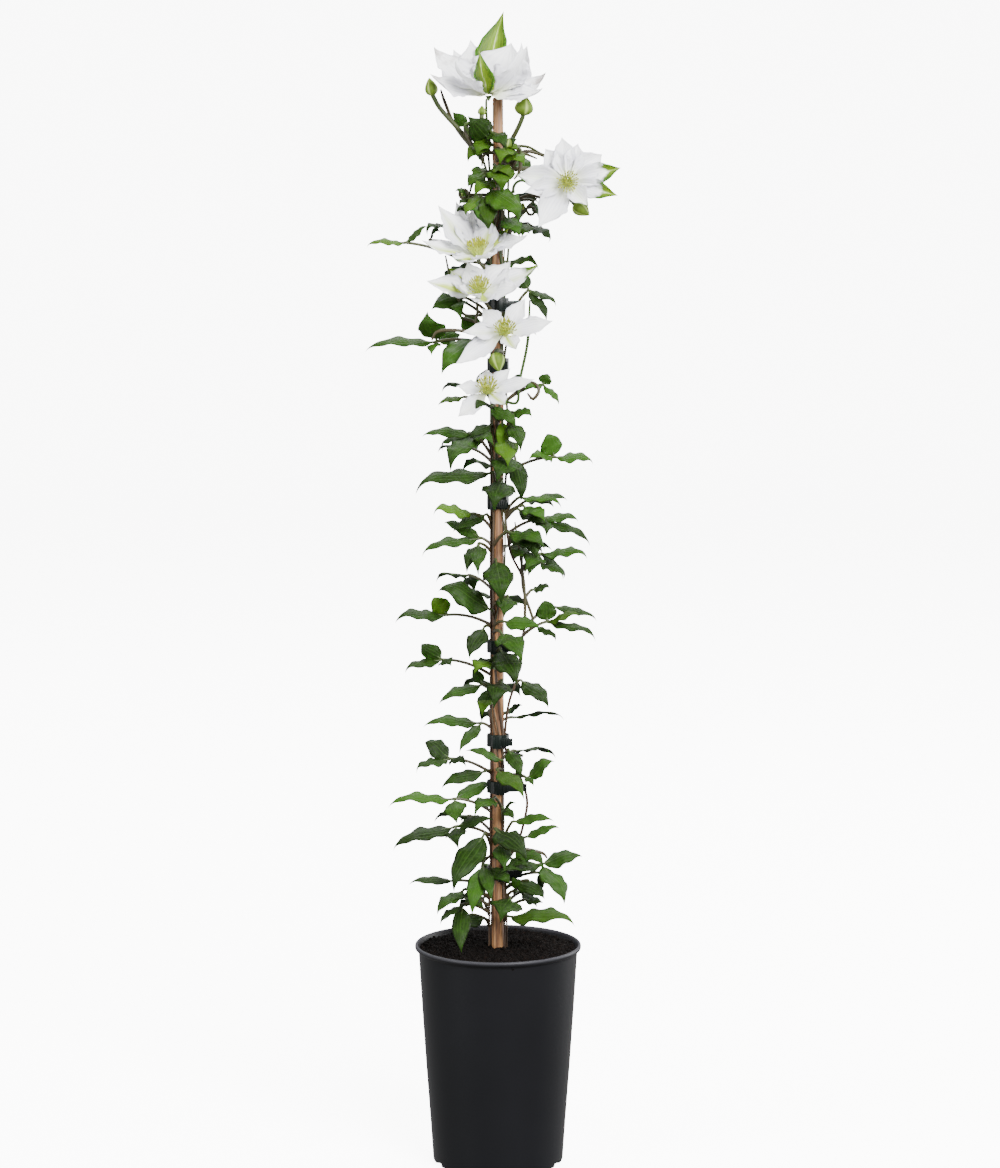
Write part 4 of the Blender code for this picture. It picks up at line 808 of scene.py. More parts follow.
# a body of revolution from the points of a profile, with notches cut round its foot
def makeRevolveTree():
    tree, given = newTree("revolveProfile", "sides rows",
                          "notchCount notchDepth notchHeight notchShare wobble wobbleScale")
    across, along, _ = splitVector(tree, positionNode(tree))
    angle = (across + 0.5) * math.tau
    row = (along + 0.5) * (given["rows"] - 1.0)
    values = {"Geometry": given["Geometry"], "Value": positionNode(tree), "Index": row.use("ROUND")}
    point = addNode(tree, "GeometryNodeSampleIndex", values, data_type="FLOAT_VECTOR")
    radius, _, height = splitVector(tree, point)
    turns = (angle * given["notchCount"]).use("DIVIDE", math.tau).use("FRACT")
    window = abs(turns - 0.5).use("LESS_THAN", given["notchShare"])
    foot = height.use("LESS_THAN", given["notchHeight"])
    wide = radius.use("GREATER_THAN", given["notchDepth"] * 2.0)
    radius = radius - window * foot * wide * given["notchDepth"]
    around = {0: radius * angle.use("COSINE"), 1: radius * angle.use("SINE"), 2: height}
    body = addNode(tree, "GeometryNodeSetPosition", {
        "Geometry": unitGrid(tree, given["sides"], given["rows"]),
        "Position": addNode(tree, "ShaderNodeCombineXYZ", around),
    })
    return endTree(tree, given, wobbleNode(tree, given, weldNode(tree, body)))


# round tubes along polylines, thick as their points say
def makeTubeTree():
    tree, given = newTree("tubeAlongPath", "sides", "spacing wobble wobbleScale")
    path = addNode(tree, "GeometryNodeMeshToCurve", {"Mesh": given["Geometry"]})
    soft = addNode(tree, "GeometryNodeCurveSplineType", {"Curve": path}, spline_type="CATMULL_ROM")
    values = {"Curve": soft, "Length": given["spacing"]}
    even = addNode(tree, "GeometryNodeResampleCurve", values, mode="LENGTH")
    values = {"Radius": 1.0, "Resolution": given["sides"]}
    ring = addNode(tree, "GeometryNodeCurvePrimitiveCircle", values)
    width = namedAttribute(tree, "tubeRadius", "FLOAT")
    thick = addNode(tree, "GeometryNodeSetCurveRadius", {"Curve": even, "Radius": width})
    values = {"Curve": thick, "Profile Curve": ring, "Fill Caps": True, "Scale": width}
    body = addNode(tree, "GeometryNodeCurveToMesh", values)
    return endTree(tree, given, wobbleNode(tree, given, body), True)


# leaf or tepal blades: one grid for each point, bent along its arched midline
def makeBladeTree(name, outline):
    tree, given = newTree(name, "stationsAcross stationsAlong",
                          "thickness fold edgeWave waveCount ruffle ruffleCount sway lobeDepth lobeCount"
                          " tipDroop curl")
    grid = unitGrid(tree, given["stationsAcross"], given["stationsAlong"])
    grid = storedAttribute(tree, grid, "bladeUv", "FLOAT_VECTOR", positionNode(tree))
    values = {"Points": given["Geometry"], "Instance": grid}
    flat = addNode(tree, "GeometryNodeRealizeInstances", {
        0: addNode(tree, "GeometryNodeInstanceOnPoints", values),
    })
    base, middle, tip, across, uv = (
        namedAttribute(tree, label, "FLOAT_VECTOR")
        for label in ("basePoint", "middlePoint", "tipPoint", "acrossWay", "bladeUv")
    )
    width = namedAttribute(tree, "bladeWidth", "FLOAT")
    seed = namedAttribute(tree, "bladeSeed", "FLOAT")
    u, v, _ = splitVector(tree, uv)
    t = v + 0.5
    rest = 1.0 - t

    def wave(count, phase):
        return ((t * count + phase) * math.tau).use("SINE")

    def scaled(vector, factor):
        return vectorNode(tree, "SCALE", vector, factor)

    def added(first, second):
        return vectorNode(tree, "ADD", first, second)

    # midline: a curve from the base over the middle point to the tip, and the way up from it
    line = added(scaled(base, rest * rest), scaled(middle, rest * t * 2.0))
    line = added(line, scaled(tip, t * t))
    early = scaled(vectorNode(tree, "SUBTRACT", middle, base), rest)
    late = scaled(vectorNode(tree, "SUBTRACT", tip, middle), t)
    upwards = vectorNode(tree, "CROSS_PRODUCT", across, added(early, late))
    normal = vectorNode(tree, "NORMALIZE", upwards)

    # outline: the width along the blade, waved by soft lobes
    shape = addNode(tree, "ShaderNodeFloatCurve", {"Value": t})
    mapping = shape.socket.node.mapping
    points = mapping.curves[0].points
    while len(points) < len(outline):
        points.new(0.5, 0.5)
    for point, spot in zip(points, outline):
        point.location = spot
    mapping.update()
    wide = width * shape
    rim = abs(u * 2.0)
    turn = u.use("SIGN").timesPlus(0.19, seed)
    lobe = wave(given["lobeCount"], turn) * given["lobeDepth"] * (t * rest * 4.0)
    line = added(line, scaled(across, u * wide * (lobe + 1.0)))

    # relief: folded halves, waved and ruffled edges, an arched midrib with a hanging tip
    strength = (seed * 7.3).use("FRACT").timesPlus(0.8, 0.6)
    lift = wide * given["fold"] * rim ** 1.4
    swing = wave(given["waveCount"], turn) * (given["edgeWave"] * strength) * (wide * rim ** 2.0)
    fine = wave(given["ruffleCount"], turn * 3.1) * given["ruffle"] * (wide * rim ** 4.0)
    swayed = wave(1.6, seed) * (given["sway"] * (width * t))
    hump = t * t * (1.0 - t ** 3.0) * 3.0 * (width * given["tipDroop"] * strength)
    rolled = t ** 3.0 * rim ** 2.0 * (wide * given["curl"])
    rise = lift + swing + (fine + swayed) + (hump + rolled)
    ends = (t * 14.0).atMost(rest * 14.0).atMost(1.0)
    half = (1.0 - rim ** 4.0) * ends * (given["thickness"] * 0.5)
    faces = []
    for height, isUpper in ((rise + half, True), (rise - half, False)):
        values = {"Geometry": flat, "Position": added(line, scaled(normal, height))}
        face = addNode(tree, "GeometryNodeSetPosition", values)
        if not isUpper:
            face = addNode(tree, "GeometryNodeFlipFaces", {"Mesh": face})
        faces.append(storedAttribute(tree, face, "bladeSide", "FLOAT", 1.0 if isUpper else 0.0))
    return endTree(tree, given, weldNode(tree, joinNode(tree, faces)), True)


# loose crumbs scattered over the heaped top of the compost
def makeCrumbTree():
    tree, given = newTree("scatterCrumbs", "seed", "density smallest largest topHeight heap")
    place = positionNode(tree)
    onTop = splitVector(tree, place)[2].use("GREATER_THAN", given["topHeight"])
    coarse = addNode(tree, "ShaderNodeTexNoise", {"Scale": 70.0, "Detail": 5.0, "Vector": place})
    rise = addNode(tree, "ShaderNodeCombineXYZ", {2: (coarse - 0.5) * given["heap"] * onTop})
    uneven = addNode(tree, "GeometryNodeSetPosition", {"Geometry": given["Geometry"], "Offset": rise})
    points = addNode(tree, "GeometryNodeDistributePointsOnFaces", {
        "Mesh": uneven, "Selection": onTop, "Density": given["density"], "Seed": given["seed"],
    })
    values = {2: given["smallest"], 3: given["largest"]}
    size = addNode(tree, "FunctionNodeRandomValue", values, 1, data_type="FLOAT")
    values = {1: (math.tau, math.tau, math.tau)}
    turn = addNode(tree, "FunctionNodeRandomValue", values, data_type="FLOAT_VECTOR")
    values = {0: (0.6, 0.6, 0.4), 1: (1.5, 1.0, 0.9), "Seed": 5}
    stretch = addNode(tree, "FunctionNodeRandomValue", values, data_type="FLOAT_VECTOR")
    crumbs = addNode(tree, "GeometryNodeInstanceOnPoints", {
        "Points": points, "Rotation": turn, "Scale": vectorNode(tree, "SCALE", stretch, size),
        "Instance": addNode(tree, "GeometryNodeMeshIcoSphere", {"Radius": 1.0, "Subdivisions": 1}),
    })
    return endTree(tree, given, joinNode(tree, (crumbs, uneven)))


# outlines of blades: place along the midline and share of the greatest width
leafOutline = (
    (0.0, 0.12), (0.05, 0.42), (0.12, 0.70), (0.22, 0.91), (0.34, 1.0), (0.48, 0.97), (0.62, 0.80),
    (0.75, 0.53), (0.86, 0.25), (0.94, 0.09), (1.0, 0.0),
)
tepalOutline = (
    (0.0, 0.20), (0.10, 0.38), (0.25, 0.74), (0.38, 0.95), (0.49, 1.0), (0.62, 0.88), (0.74, 0.62),
    (0.85, 0.32), (0.93, 0.13), (1.0, 0.0),
)
trees = {
    "revolve": makeRevolveTree(), "tube": makeTubeTree(), "crumbs": makeCrumbTree(),
    "leaf": makeBladeTree("leafBlade", leafOutline), "tepal": makeBladeTree("tepalBlade", tepalOutline),
}
print("stage: node trees made")


# shared placement rules, the same as the solids follow
def midline(base, control, tip, t):
    return base * (1.0 - t) ** 2 + control * (2.0 * t * (1.0 - t)) + tip * t * t


def bladeFrame(base, tip, facing, arch):
    along = tip - base
    across = along.cross(facing).normalized()
    up = across.cross(along).normalized()
    return across, (base + tip) * 0.5 + up * (arch * along.length)


caneSizes = {
    "bottom": 46.0, "top": 955.0, "lowRadius": 5.7, "highRadius": 4.75, "soilLevel": 195.0, "swell": 0.35,
}
caneNodes = (296.0, 430.0, 548.0, 668.0, 812.0, 905.0)
stemSizes = {
    "radius": 1.15, "topRadius": 0.95, "gap": 0.35, "clipClearance": 9.5, "snug": 1.15, "snugFrom": 245.0,
    "snugTo": 885.0, "slim": 0.64, "footBelow": 235.0, "footShare": 0.72, "footGap": 2.2, "woodyTo": 450.0,
    "greenOver": 500.0,
}


def caneRadius(height):
    share = (height - caneSizes["soilLevel"]) / (caneSizes["top"] - caneSizes["soilLevel"])
    share = max(0.0, min(1.0, share))
    return caneSizes["lowRadius"] + (caneSizes["highRadius"] - caneSizes["lowRadius"]) * share


# stems lie closer to the cane than their listed distances, and their feet stand beside it
def stemPoints(name):
    points = []
    for height, angle, distance in stemRoutes[name]:
        if distance == 0:
            distance = caneRadius(height) + caneSizes["swell"] * 0.2 + stemSizes["radius"] * stemSizes["slim"]
        elif name != "right" and stemSizes["snugFrom"] < height < stemSizes["snugTo"]:
            distance = min(distance, caneRadius(height) + stemSizes["snug"])
        elif height <= stemSizes["snugFrom"]:
            distance = min(distance, caneRadius(height) + stemSizes["footGap"])
        turn = math.radians(angle)
        points.append(Vector((distance * math.cos(turn), distance * math.sin(turn), float(height))))
    return points


def stemAt(points, height):
    for low, high in zip(points, points[1:]):
        if low.z <= height <= high.z:
            return low.lerp(high, (height - low.z) / (high.z - low.z))
    return points[-1].copy()


# no stalk leaves its stem inside a clip
def clearHeight(height):
    for clipHeight, _, _ in clipRows:
        if abs(height - clipHeight) < stemSizes["clipClearance"]:
            step = stemSizes["clipClearance"] if height >= clipHeight else -stemSizes["clipClearance"]
            return clipHeight + step
    return height


leafRule = {
    "widen": 1.24, "sideReach": 34.0, "topWiden": 1.12, "topFrom": 830.0, "innerStretch": 1.28, "tilt": 0.75,
    "sideTilt": 0.42, "backBegins": 9.0, "upright": 0.55, "openFrom": 712.0, "openTo": 800.0,
    "openRight": -14.0, "openLeft": -72.0, "openTint": 0.4, "leanShare": 0.006, "leanMost": 0.35, "lift": 0.8,
    "uprightLift": 0.1, "openLift": 0.45,
}


# true for the leaves to the left of the middle flowers, which turn to the front
def isOpen(base, tip):
    middle = (base + tip) * 0.5
    inHeight = leafRule["openFrom"] < middle.z < leafRule["openTo"]
    return inHeight and leafRule["openLeft"] < middle.x < leafRule["openRight"]


# leaves look up and outwards, those far out at a side lie flatter, upright and open ones look to the front
def leafFacing(base, tip):
    middle = (base + tip) * 0.5
    steep = leafRule["sideTilt"] if abs(middle.x) > leafRule["sideReach"] else leafRule["tilt"]
    front = -steep if middle.y <= leafRule["backBegins"] else steep
    lean = max(-leafRule["leanMost"], min(leafRule["leanMost"], middle.x * leafRule["leanShare"]))
    if (tip - base).normalized().z > leafRule["upright"]:
        return Vector((lean, -1.0, leafRule["uprightLift"])).normalized()
    if isOpen(base, tip):
        return Vector((lean, -1.0, leafRule["openLift"])).normalized()
    return Vector((lean, front, leafRule["lift"])).normalized()


# leaves near the cane reach a little further than their listed tips
def leafTip(elbow, tip):
    if abs(elbow.x + tip.x) * 0.5 > leafRule["sideReach"]:
        return tip
    return elbow.lerp(tip, leafRule["innerStretch"])


def leafWidth(base, width):
    if base.z > leafRule["topFrom"]:
        width *= leafRule["topWiden"]
    return width * leafRule["widen"]


# polylines in millimetres with a radius and an age at each point
class Lines:
    def __init__(self, thicken=1.0):
        self.points, self.edges, self.radii, self.ages = [], [], [], []
        self.thicken = thicken

    def add(self, path, radii, ages):
        start = len(self.points)
        for i, place in enumerate(path):
            self.points.append(Vector(place) * mm)
            self.radii.append(radii[i] * self.thicken * mm)
            self.ages.append(ages[i])
            if i:
                self.edges.append((start + i - 1, start + i))

    def make(self, name, shape, look):
        source = pointSource(f"{name}_paths", self.points, self.edges, {
            "tubeRadius": ("FLOAT", self.radii), "tubeAge": ("FLOAT", self.ages),
        })
        return grow(name, source, trees["tube"], {**shape, "material": looks[look]})


# the blades of one piece: midline points, way across, width, seed and tint of each
class Blades:
    def __init__(self):
        self.rows = []

    def add(self, base, control, tip, across, width, seed, tint):
        self.rows.append((base * mm, control * mm, tip * mm, across, width * mm, seed, tint))

    def make(self, name, shape, look):
        columns = list(zip(*self.rows))
        source = pointSource(f"{name}_points", columns[0], [], {
            "basePoint": ("FLOAT_VECTOR", columns[0]), "middlePoint": ("FLOAT_VECTOR", columns[1]),
            "tipPoint": ("FLOAT_VECTOR", columns[2]), "acrossWay": ("FLOAT_VECTOR", columns[3]),
            "bladeWidth": ("FLOAT", columns[4]), "bladeSeed": ("FLOAT", columns[5]),
            "bladeTint": ("FLOAT_VECTOR", columns[6]),
        })
        return grow(name, source, trees[look], {**shape, "material": looks[look]})


# pot, compost, cane: bodies of revolution without notches or wobble, unless they say otherwise
plainRound = {
    "notchCount": 1.0, "notchDepth": 0.0, "notchHeight": 0.0, "notchShare": 0.0, "wobble": 0.0,
    "wobbleScale": 1.0,
}


# a profile holds radius and height in millimetres
def revolve(name, profile, shape, look):
    source = pointSource(f"{name}_profile", [Vector((r, 0.0, z)) * mm for r, z in profile], [], {})
    values = {**plainRound, **shape, "rows": len(profile), "material": looks[look]}
    return grow(name, source, trees["revolve"], values)


potShape = {"sides": 193, "notchCount": 8.0, "notchDepth": 0.004, "notchHeight": 0.0035, "notchShare": 0.13}
potProfile = (
    (0.0, 0.0), (40.0, 0.0), (54.6, 0.0), (56.8, 0.05), (58.0, 0.5), (58.7, 1.3), (59.0, 2.4), (59.02, 3.4),
    (59.05, 3.6), (61.5, 40.0), (65.2, 90.0), (68.5, 140.0), (70.9, 180.0), (71.6, 192.6), (71.7, 194.4),
    (72.0, 195.2), (72.9, 195.4), (74.0, 195.6), (74.7, 196.2), (75.0, 197.2), (75.0, 198.4), (74.8, 199.2),
    (74.4, 199.7), (73.9, 199.95), (73.4, 200.0), (72.9, 199.85), (72.5, 199.4), (72.2, 198.6), (71.6, 196.6),
    (70.4, 195.4), (69.75, 194.0), (66.0, 136.0), (62.0, 70.0), (58.4, 12.0), (57.8, 8.0), (56.6, 6.6),
    (50.0, 6.0), (0.0, 5.0),
)


def makePot():
    pot = revolve("pot_body", potProfile, potShape, "pot")
    smooth(pot.data, 60.0)
    return dress(pot, "pot_plastic", "pot")


# the profile is in millimetres, the crumbs are in metres
soilShape = {
    "sides": 120, "wallTop": 195.4, "reach": 68.6, "crown": 0.6, "rings": 28, "density": 260000.0,
    "smallest": 0.0005, "largest": 0.0026, "topHeight": 0.1925, "heap": 0.0045, "seed": 11,
}


def makeSoil():
    reach, rings = soilShape["reach"], soilShape["rings"]
    wallTop, crown = soilShape["wallTop"], soilShape["crown"]
    profile = [(0.0, 6.0), (56.0, 7.5), (57.0, 12.0), (64.0, 110.0), (69.2, 192.0), (69.4, 194.6)]
    profile.append((reach, wallTop))
    for i in range(rings):
        share = (i + 1) / rings
        profile.append((reach * (1.0 - share), wallTop + crown * math.sin(share * math.pi * 0.5)))
    base = revolve("soil_base", profile, {"sides": soilShape["sides"]}, "soil")
    soil = grow("soil_crumbs", base, trees["crumbs"], {**soilShape, "material": looks["soil"]})
    return dress(soil, "compost", "soil")


caneShape = {
    "sides": 41, "wobble": 0.0005, "wobbleScale": 60.0, "nodeSpread": 3.2, "groove": 0.12, "grooveAway": 6.0,
    "grooveSpread": 2.5, "ringsFrom": 60.0, "fineWithin": 12.0, "fineStep": 1.5, "coarseStep": 8.0,
}


def makeCane():
    top = caneSizes["top"]
    profile = [(0.0, caneSizes["bottom"]), (caneSizes["lowRadius"], caneSizes["bottom"])]
    height = caneShape["ringsFrom"]
    while height < top - 1.0:
        near = min(abs(height - node) for node in caneNodes)
        swell = caneSizes["swell"] * math.exp(-(near / caneShape["nodeSpread"]) ** 2)
        away = (near - caneShape["grooveAway"]) / caneShape["grooveSpread"]
        groove = caneShape["groove"] * math.exp(-away ** 2)
        profile.append((caneRadius(height) + (swell - groove) - 0.1, height))
        height += caneShape["fineStep" if near < caneShape["fineWithin"] else "coarseStep"]

    # the cut top, worn round at its rim and hollow inside
    profile += [(4.65, top - 0.8), (4.3, top - 0.1), (2.4, top), (2.2, top - 2.0), (0.0, top - 2.0)]
    cane = revolve("cane_rod", profile, caneShape, "cane")
    smooth(cane.data)
    return dress(cane, "bamboo", "cane")


# clips: a closed band, a buckle and a toothed tail; a size is depth, width and height in millimetres
clipShape = {
    "wall": 1.35, "slack": 0.35, "height": 11.0, "sides": 64, "rib": 0.2, "buckle": (3.6, 7.8),
    "buckleOver": 1.2, "tail": (1.2, 6.9), "tooth": (0.9, 0.7, 5.2), "toothFrom": 4.6, "toothPitch": 2.0,
    "bar": (1.6, 1.2, 9.0), "barWay": 2.4,
}


def boxMesh(size, place, bevel):
    work = bmesh.new()
    bmesh.ops.create_cube(work, size=1.0)
    bmesh.ops.scale(work, vec=size, verts=work.verts)
    bmesh.ops.bevel(work, geom=work.edges[:], offset=bevel, segments=2, profile=0.5, affect="EDGES")
    bmesh.ops.transform(work, matrix=place, verts=work.verts)
    mesh = bpy.data.meshes.new("box")
    work.to_mesh(mesh)
    work.free()
    return mesh


def joinMeshes(name, meshes, material):
    work = bmesh.new()
    for mesh in meshes:
        work.from_mesh(mesh)
        bpy.data.meshes.remove(mesh)
    bmesh.ops.recalc_face_normals(work, faces=work.faces)
    made = bpy.data.meshes.new(name)
    work.to_mesh(made)
    work.free()
    made.materials.append(material)
    smooth(made, 40.0)
    return link(bpy.data.objects.new(name, made))


# faces between rings of points that follow each other
def ringFaces(start, sides, pairs):
    faces = []
    for low, high in pairs:
        for i in range(sides):
            k = (i + 1) % sides
            a, b = start + low * sides, start + high * sides
            faces.append((a + i, a + k, b + k, b + i))
    return faces


def bandMesh(inner, outer, low, high, bevel):
    profile = ((inner, low + bevel), (inner + bevel, low), (outer - bevel, low), (outer, low + bevel),
               (outer, high - bevel), (outer - bevel, high), (inner + bevel, high), (inner, high - bevel))
    sides, count = clipShape["sides"], len(profile)
    points = []
    for radius, level in profile:
        for i in range(sides):
            angle = math.tau * i / sides
            ribbed = radius + (clipShape["rib"] if i % 4 < 2 and radius > inner + bevel else 0.0)
            points.append((ribbed * math.cos(angle) * mm, ribbed * math.sin(angle) * mm, level * mm))
    mesh = bpy.data.meshes.new("ring")
    mesh.from_pydata(points, [], ringFaces(0, sides, [(ring, (ring + 1) % count) for ring in range(count)]))
    return mesh


def makeClips():
    for number, (height, angle, tail) in enumerate(clipRows, start=1):
        stems = caneRadius(height) + caneSizes["swell"] * 0.2 + stemSizes["gap"] + 2.0 * stemSizes["radius"]
        inner = stems + clipShape["slack"]
        outer = inner + clipShape["wall"]
        half = clipShape["height"] * 0.5
        turn = Matrix.Translation((0.0, 0.0, height * mm)) @ Matrix.Rotation(math.radians(angle), 4, "Z")

        # boxes: size, distance out from the band, way along the tail, bevel
        thick, broad = clipShape["tail"]
        boxes = [
            ((*clipShape["buckle"], clipShape["height"] + clipShape["buckleOver"]), 1.4, 0.0, 0.5),
            ((thick, tail, broad), 1.7, tail * 0.5, 0.25),
        ]
        way = clipShape["toothFrom"]
        while way < tail - 1.0:
            boxes.append((clipShape["tooth"], 2.5, way, 0.15))
            way += clipShape["toothPitch"]
        boxes += [(clipShape["bar"], 3.4, side * clipShape["barWay"], 0.3) for side in (-1, 1)]
        meshes = [bandMesh(inner, outer, height - half, height + half, 0.3)]
        for size, out, along, bevel in boxes:
            place = turn @ Matrix.Translation(((outer + out) * mm, along * mm, 0.0))
            meshes.append(boxMesh([s * mm for s in size], place, bevel * mm))
        dress(joinMeshes(f"clip_band_{number}", meshes, looks["clip"]), "clip_plastic", f"clip_{number}")


makePot()
makeSoil()
makeCane()
makeClips()
print("stage: pot, compost, cane and clips made")

# stems, leaves, buds
leafShape = {
    "stationsAcross": 11, "stationsAlong": 33, "thickness": 0.0006, "fold": -0.12, "edgeWave": 0.075,
    "waveCount": 3.0, "ruffle": 0.008, "ruffleCount": 6.3, "sway": 0.05, "lobeDepth": 0.015, "lobeCount": 2.0,
    "tipDroop": 0.36, "curl": -0.10,
}
stalkShape = {"spacing": 0.002, "sides": 10, "wobble": 0.00012, "wobbleScale": 120.0, "thicken": 1.75}
stalkRadii = {
    "bloom": 0.95, "bloomEnd": 1.9, "bud": 1.2, "twig": 0.88, "twigEnd": 0.45, "tendril": 0.75,
    "tendrilEnd": 0.4,
}

# a stalk ends just under its flower and is straight over the length of its neck
stalkEnd = {"gap": 1.5, "neck": 4.0}

# a leaf's stalk from its stem, the same when it runs on into the first leaflet, and a leaflet's own stalk
leafStalk = {"radii": (0.95, 0.85, 0.8, 0.78, 0.76, 0.75), "ages": (0.9, 0.85, 0.8, 0.7, 0.6, 0.5)}
longStalk = {"radii": leafStalk["radii"] + (0.62, 0.5, 0.3), "ages": leafStalk["ages"] + (0.35, 0.2, 0.1)}
leafletStalk = {"radii": (0.75, 0.62, 0.5, 0.3), "ages": (0.45, 0.3, 0.2, 0.1)}
leafLayout = {
    "arch": 0.16, "gap": 0.07, "stalkBend": 95.0, "youngFrom": 800.0, "youngAbove": 0.5, "youngBelow": 0.06,
    "youngTint": 0.55,
}


def addLeaves(start, elbow, leaflets, lines, blades, draw):
    reach = elbow - start
    rise = start.lerp(elbow, 0.5) + Vector((0.0, 0.0, leafLayout["arch"] * reach.length))
    stalk = [midline(start, rise, elbow, t) for t in (0.0, 0.2, 0.4, 0.6, 0.8, 1.0)]
    youngShare = leafLayout["youngAbove" if elbow.z > leafLayout["youngFrom"] else "youngBelow"]
    tone = draw.random()
    isJoined = False
    for index, (tip, width) in enumerate(leaflets):
        tip = leafTip(elbow, Vector(tip))
        base = elbow.lerp(tip, leafLayout["gap"])
        across, control = bladeFrame(base, tip, leafFacing(base, tip), leafLayout["arch"])
        young = leafLayout["youngTint"] if draw.random() < youngShare else 0.0
        light = leafRule["openTint"] if isOpen(base, tip) else 0.0
        tint = (min(1.0, 0.6 * tone + 0.4 * draw.random() + light), young * draw.random(), 0.0)
        blades.add(base, control, tip, across, leafWidth(base, width), draw.random(), tint)
        inside = [midline(base, control, tip, t) for t in (0.12, 0.3)]
        if index == 0 and reach.angle(base - elbow) < math.radians(leafLayout["stalkBend"]):
            isJoined = True
            lines.add(stalk + [base] + inside, **longStalk)
        else:
            lines.add([elbow - reach.normalized() * 0.5, base] + inside, **leafletStalk)
    if not isJoined:
        lines.add(stalk, **leafStalk)


# curled ends of leaf stalks: stem, centre of the curl, its radius, where it begins and how far it turns
loopRows = (
    ("front", (14.5, -12.0, 907.0), 7.0, 200.0, -300.0), ("left", (-12.0, -9.0, 905.0), 6.0, 20.0, 250.0),
    ("left", (-30.0, -7.0, 871.0), 4.5, 0.0, 330.0), ("front", (22.0, -11.0, 876.0), 9.0, 200.0, -150.0),
    ("front", (-8.0, -14.0, 884.0), 6.5, -60.0, -220.0), ("right", (29.0, -7.0, 857.0), 4.0, 190.0, 320.0),
)
loopShape = {"steps": 14, "tighten": 0.3, "shift": 2.5}


def loopPath(centre, radius, begin, turn):
    path = []
    for i in range(loopShape["steps"] + 1):
        share = i / loopShape["steps"]
        angle = math.radians(begin + turn * share)
        size = radius * (1.0 - loopShape["tighten"] * share)
        path.append((centre[0] + size * math.cos(angle), centre[1] + loopShape["shift"] * share,
                     centre[2] + size * math.sin(angle)))
    return tuple(path)


def rowsOf(name, rows):
    return [row[1:] for row in rows if row[0] == name]


# the main stem is thin at its foot, green at its top and thick where it ends in a flower
def addMainStem(points, lines):
    count = len(points) - 1
    thinner = (stemSizes["topRadius"] - stemSizes["radius"]) / count
    radii = [(stemSizes["radius"] + thinner * i) * stemSizes["slim"] for i in range(count + 1)]
    for i, point in enumerate(points):
        radii[i] *= stemSizes["footShare"] if point.z < stemSizes["footBelow"] else 1.0
    if points[-1].z - points[-2].z < 5.0:
        radii[-1] = stalkRadii["bloomEnd"]
    green = [max(0.0, p.z - stemSizes["woodyTo"]) / stemSizes["greenOver"] for p in points]
    ages = [max(0.0, min(1.0, 1.15 - 0.9 * share)) for share in green]
    lines.add(points, radii, ages)


def makeStem(name, draw):
    lines, blades = Lines(stalkShape["thicken"]), Blades()
    points = stemPoints(name)

    def route(height, *passed):
        return [stemAt(points, height)] + [Vector(p) for p in passed]

    def addStalk(path, radius, endRadius, age):
        count = len(path)
        lines.add(path, [radius] * (count - 1) + [endRadius], [age - 0.6 * i / count for i in range(count)])

    for bloom, (owner, height, passed) in bloomStalks.items():
        if owner != name:
            continue
        centre, facing, _ = bloomRows[bloom]
        facing = Vector(facing).normalized()
        end = Vector(centre) - facing * stalkEnd["gap"]
        neck = end - facing * stalkEnd["neck"]
        if height is None:
            points = points + [neck, end]
        else:
            addStalk(route(height, *passed, neck, end), stalkRadii["bloom"], stalkRadii["bloomEnd"], 0.9)
    addMainStem(points, lines)
    for height, elbow, leaflets in rowsOf(name, leafRows + youngLeafRows):
        addLeaves(stemAt(points, clearHeight(height)), Vector(elbow), leaflets, lines, blades, draw)
    for height, passed, foot, _, _ in rowsOf(name, budRows):
        addStalk(route(clearHeight(height), *passed, foot), stalkRadii["bud"], stalkRadii["bud"], 0.7)
    for height, passed in rowsOf(name, twigRows):
        path = route(clearHeight(height), *passed)
        radii = [stalkRadii["twig"]] * (len(path) - 1) + [stalkRadii["twigEnd"]]
        lines.add(path, radii, [0.8] * len(path))
    loops = tuple((row[0], loopPath(*row[1:])) for row in loopRows)
    for (passed,) in rowsOf(name, tendrilRows + loops):
        path = route(passed[0][2], *passed)
        radii = [stalkRadii["tendril"]] * (len(path) - 1) + [stalkRadii["tendrilEnd"]]
        lines.add(path, radii, [draw.random() * 0.8] * len(path))
    dress(lines.make(f"stalks_{name}", stalkShape, "stem"), "clematis_green", f"stem_{name}")
    dress(blades.make(f"leaves_{name}", leafShape, "leaf"), "clematis_green", f"stem_{name}")


for number, stemName in enumerate(stemRoutes):
    makeStem(stemName, random.Random(seeds["stems"] + number))

shootShape = {
    "count": 2, "foot": 352.0, "top": 892.0, "step": 9.0, "front": 268.0, "swing": 62.0, "pitch": 235.0,
    "radius": 0.62, "gap": 0.15, "drift": 1.1,
}


# thin shoots that leave the front stem and wind to and fro over the cane up to the first flowers
def makeShoots(draw):
    lines = Lines()
    for number in range(shootShape["count"]):
        phase = math.tau * number / shootShape["count"] + draw.random()
        pitch = shootShape["pitch"] * (0.8 + 0.4 * draw.random())
        height = shootShape["foot"]
        path = [tuple(stemAt(stemPoints("front"), height - shootShape["step"]))]
        while height <= shootShape["top"]:
            swing = math.sin(math.tau * height / pitch + phase)
            angle = math.radians(shootShape["front"] + shootShape["swing"] * swing)
            bulge = shootShape["drift"] * (0.5 + 0.5 * math.sin(height * 0.045 + phase * 2.0))
            distance = (caneRadius(height) + caneSizes["swell"] + shootShape["gap"] + shootShape["radius"]
                        + bulge)
            path.append((distance * math.cos(angle), distance * math.sin(angle), height))
            height += shootShape["step"]
        count = len(path)
        ages = [max(0.1, 1.0 - 0.9 * i / count) for i in range(count)]
        lines.add(path, [shootShape["radius"]] * count, ages)
    return dress(lines.make("twining_shoots", stalkShape, "stem"), "clematis_green")


makeShoots(random.Random(seeds["shoots"]))

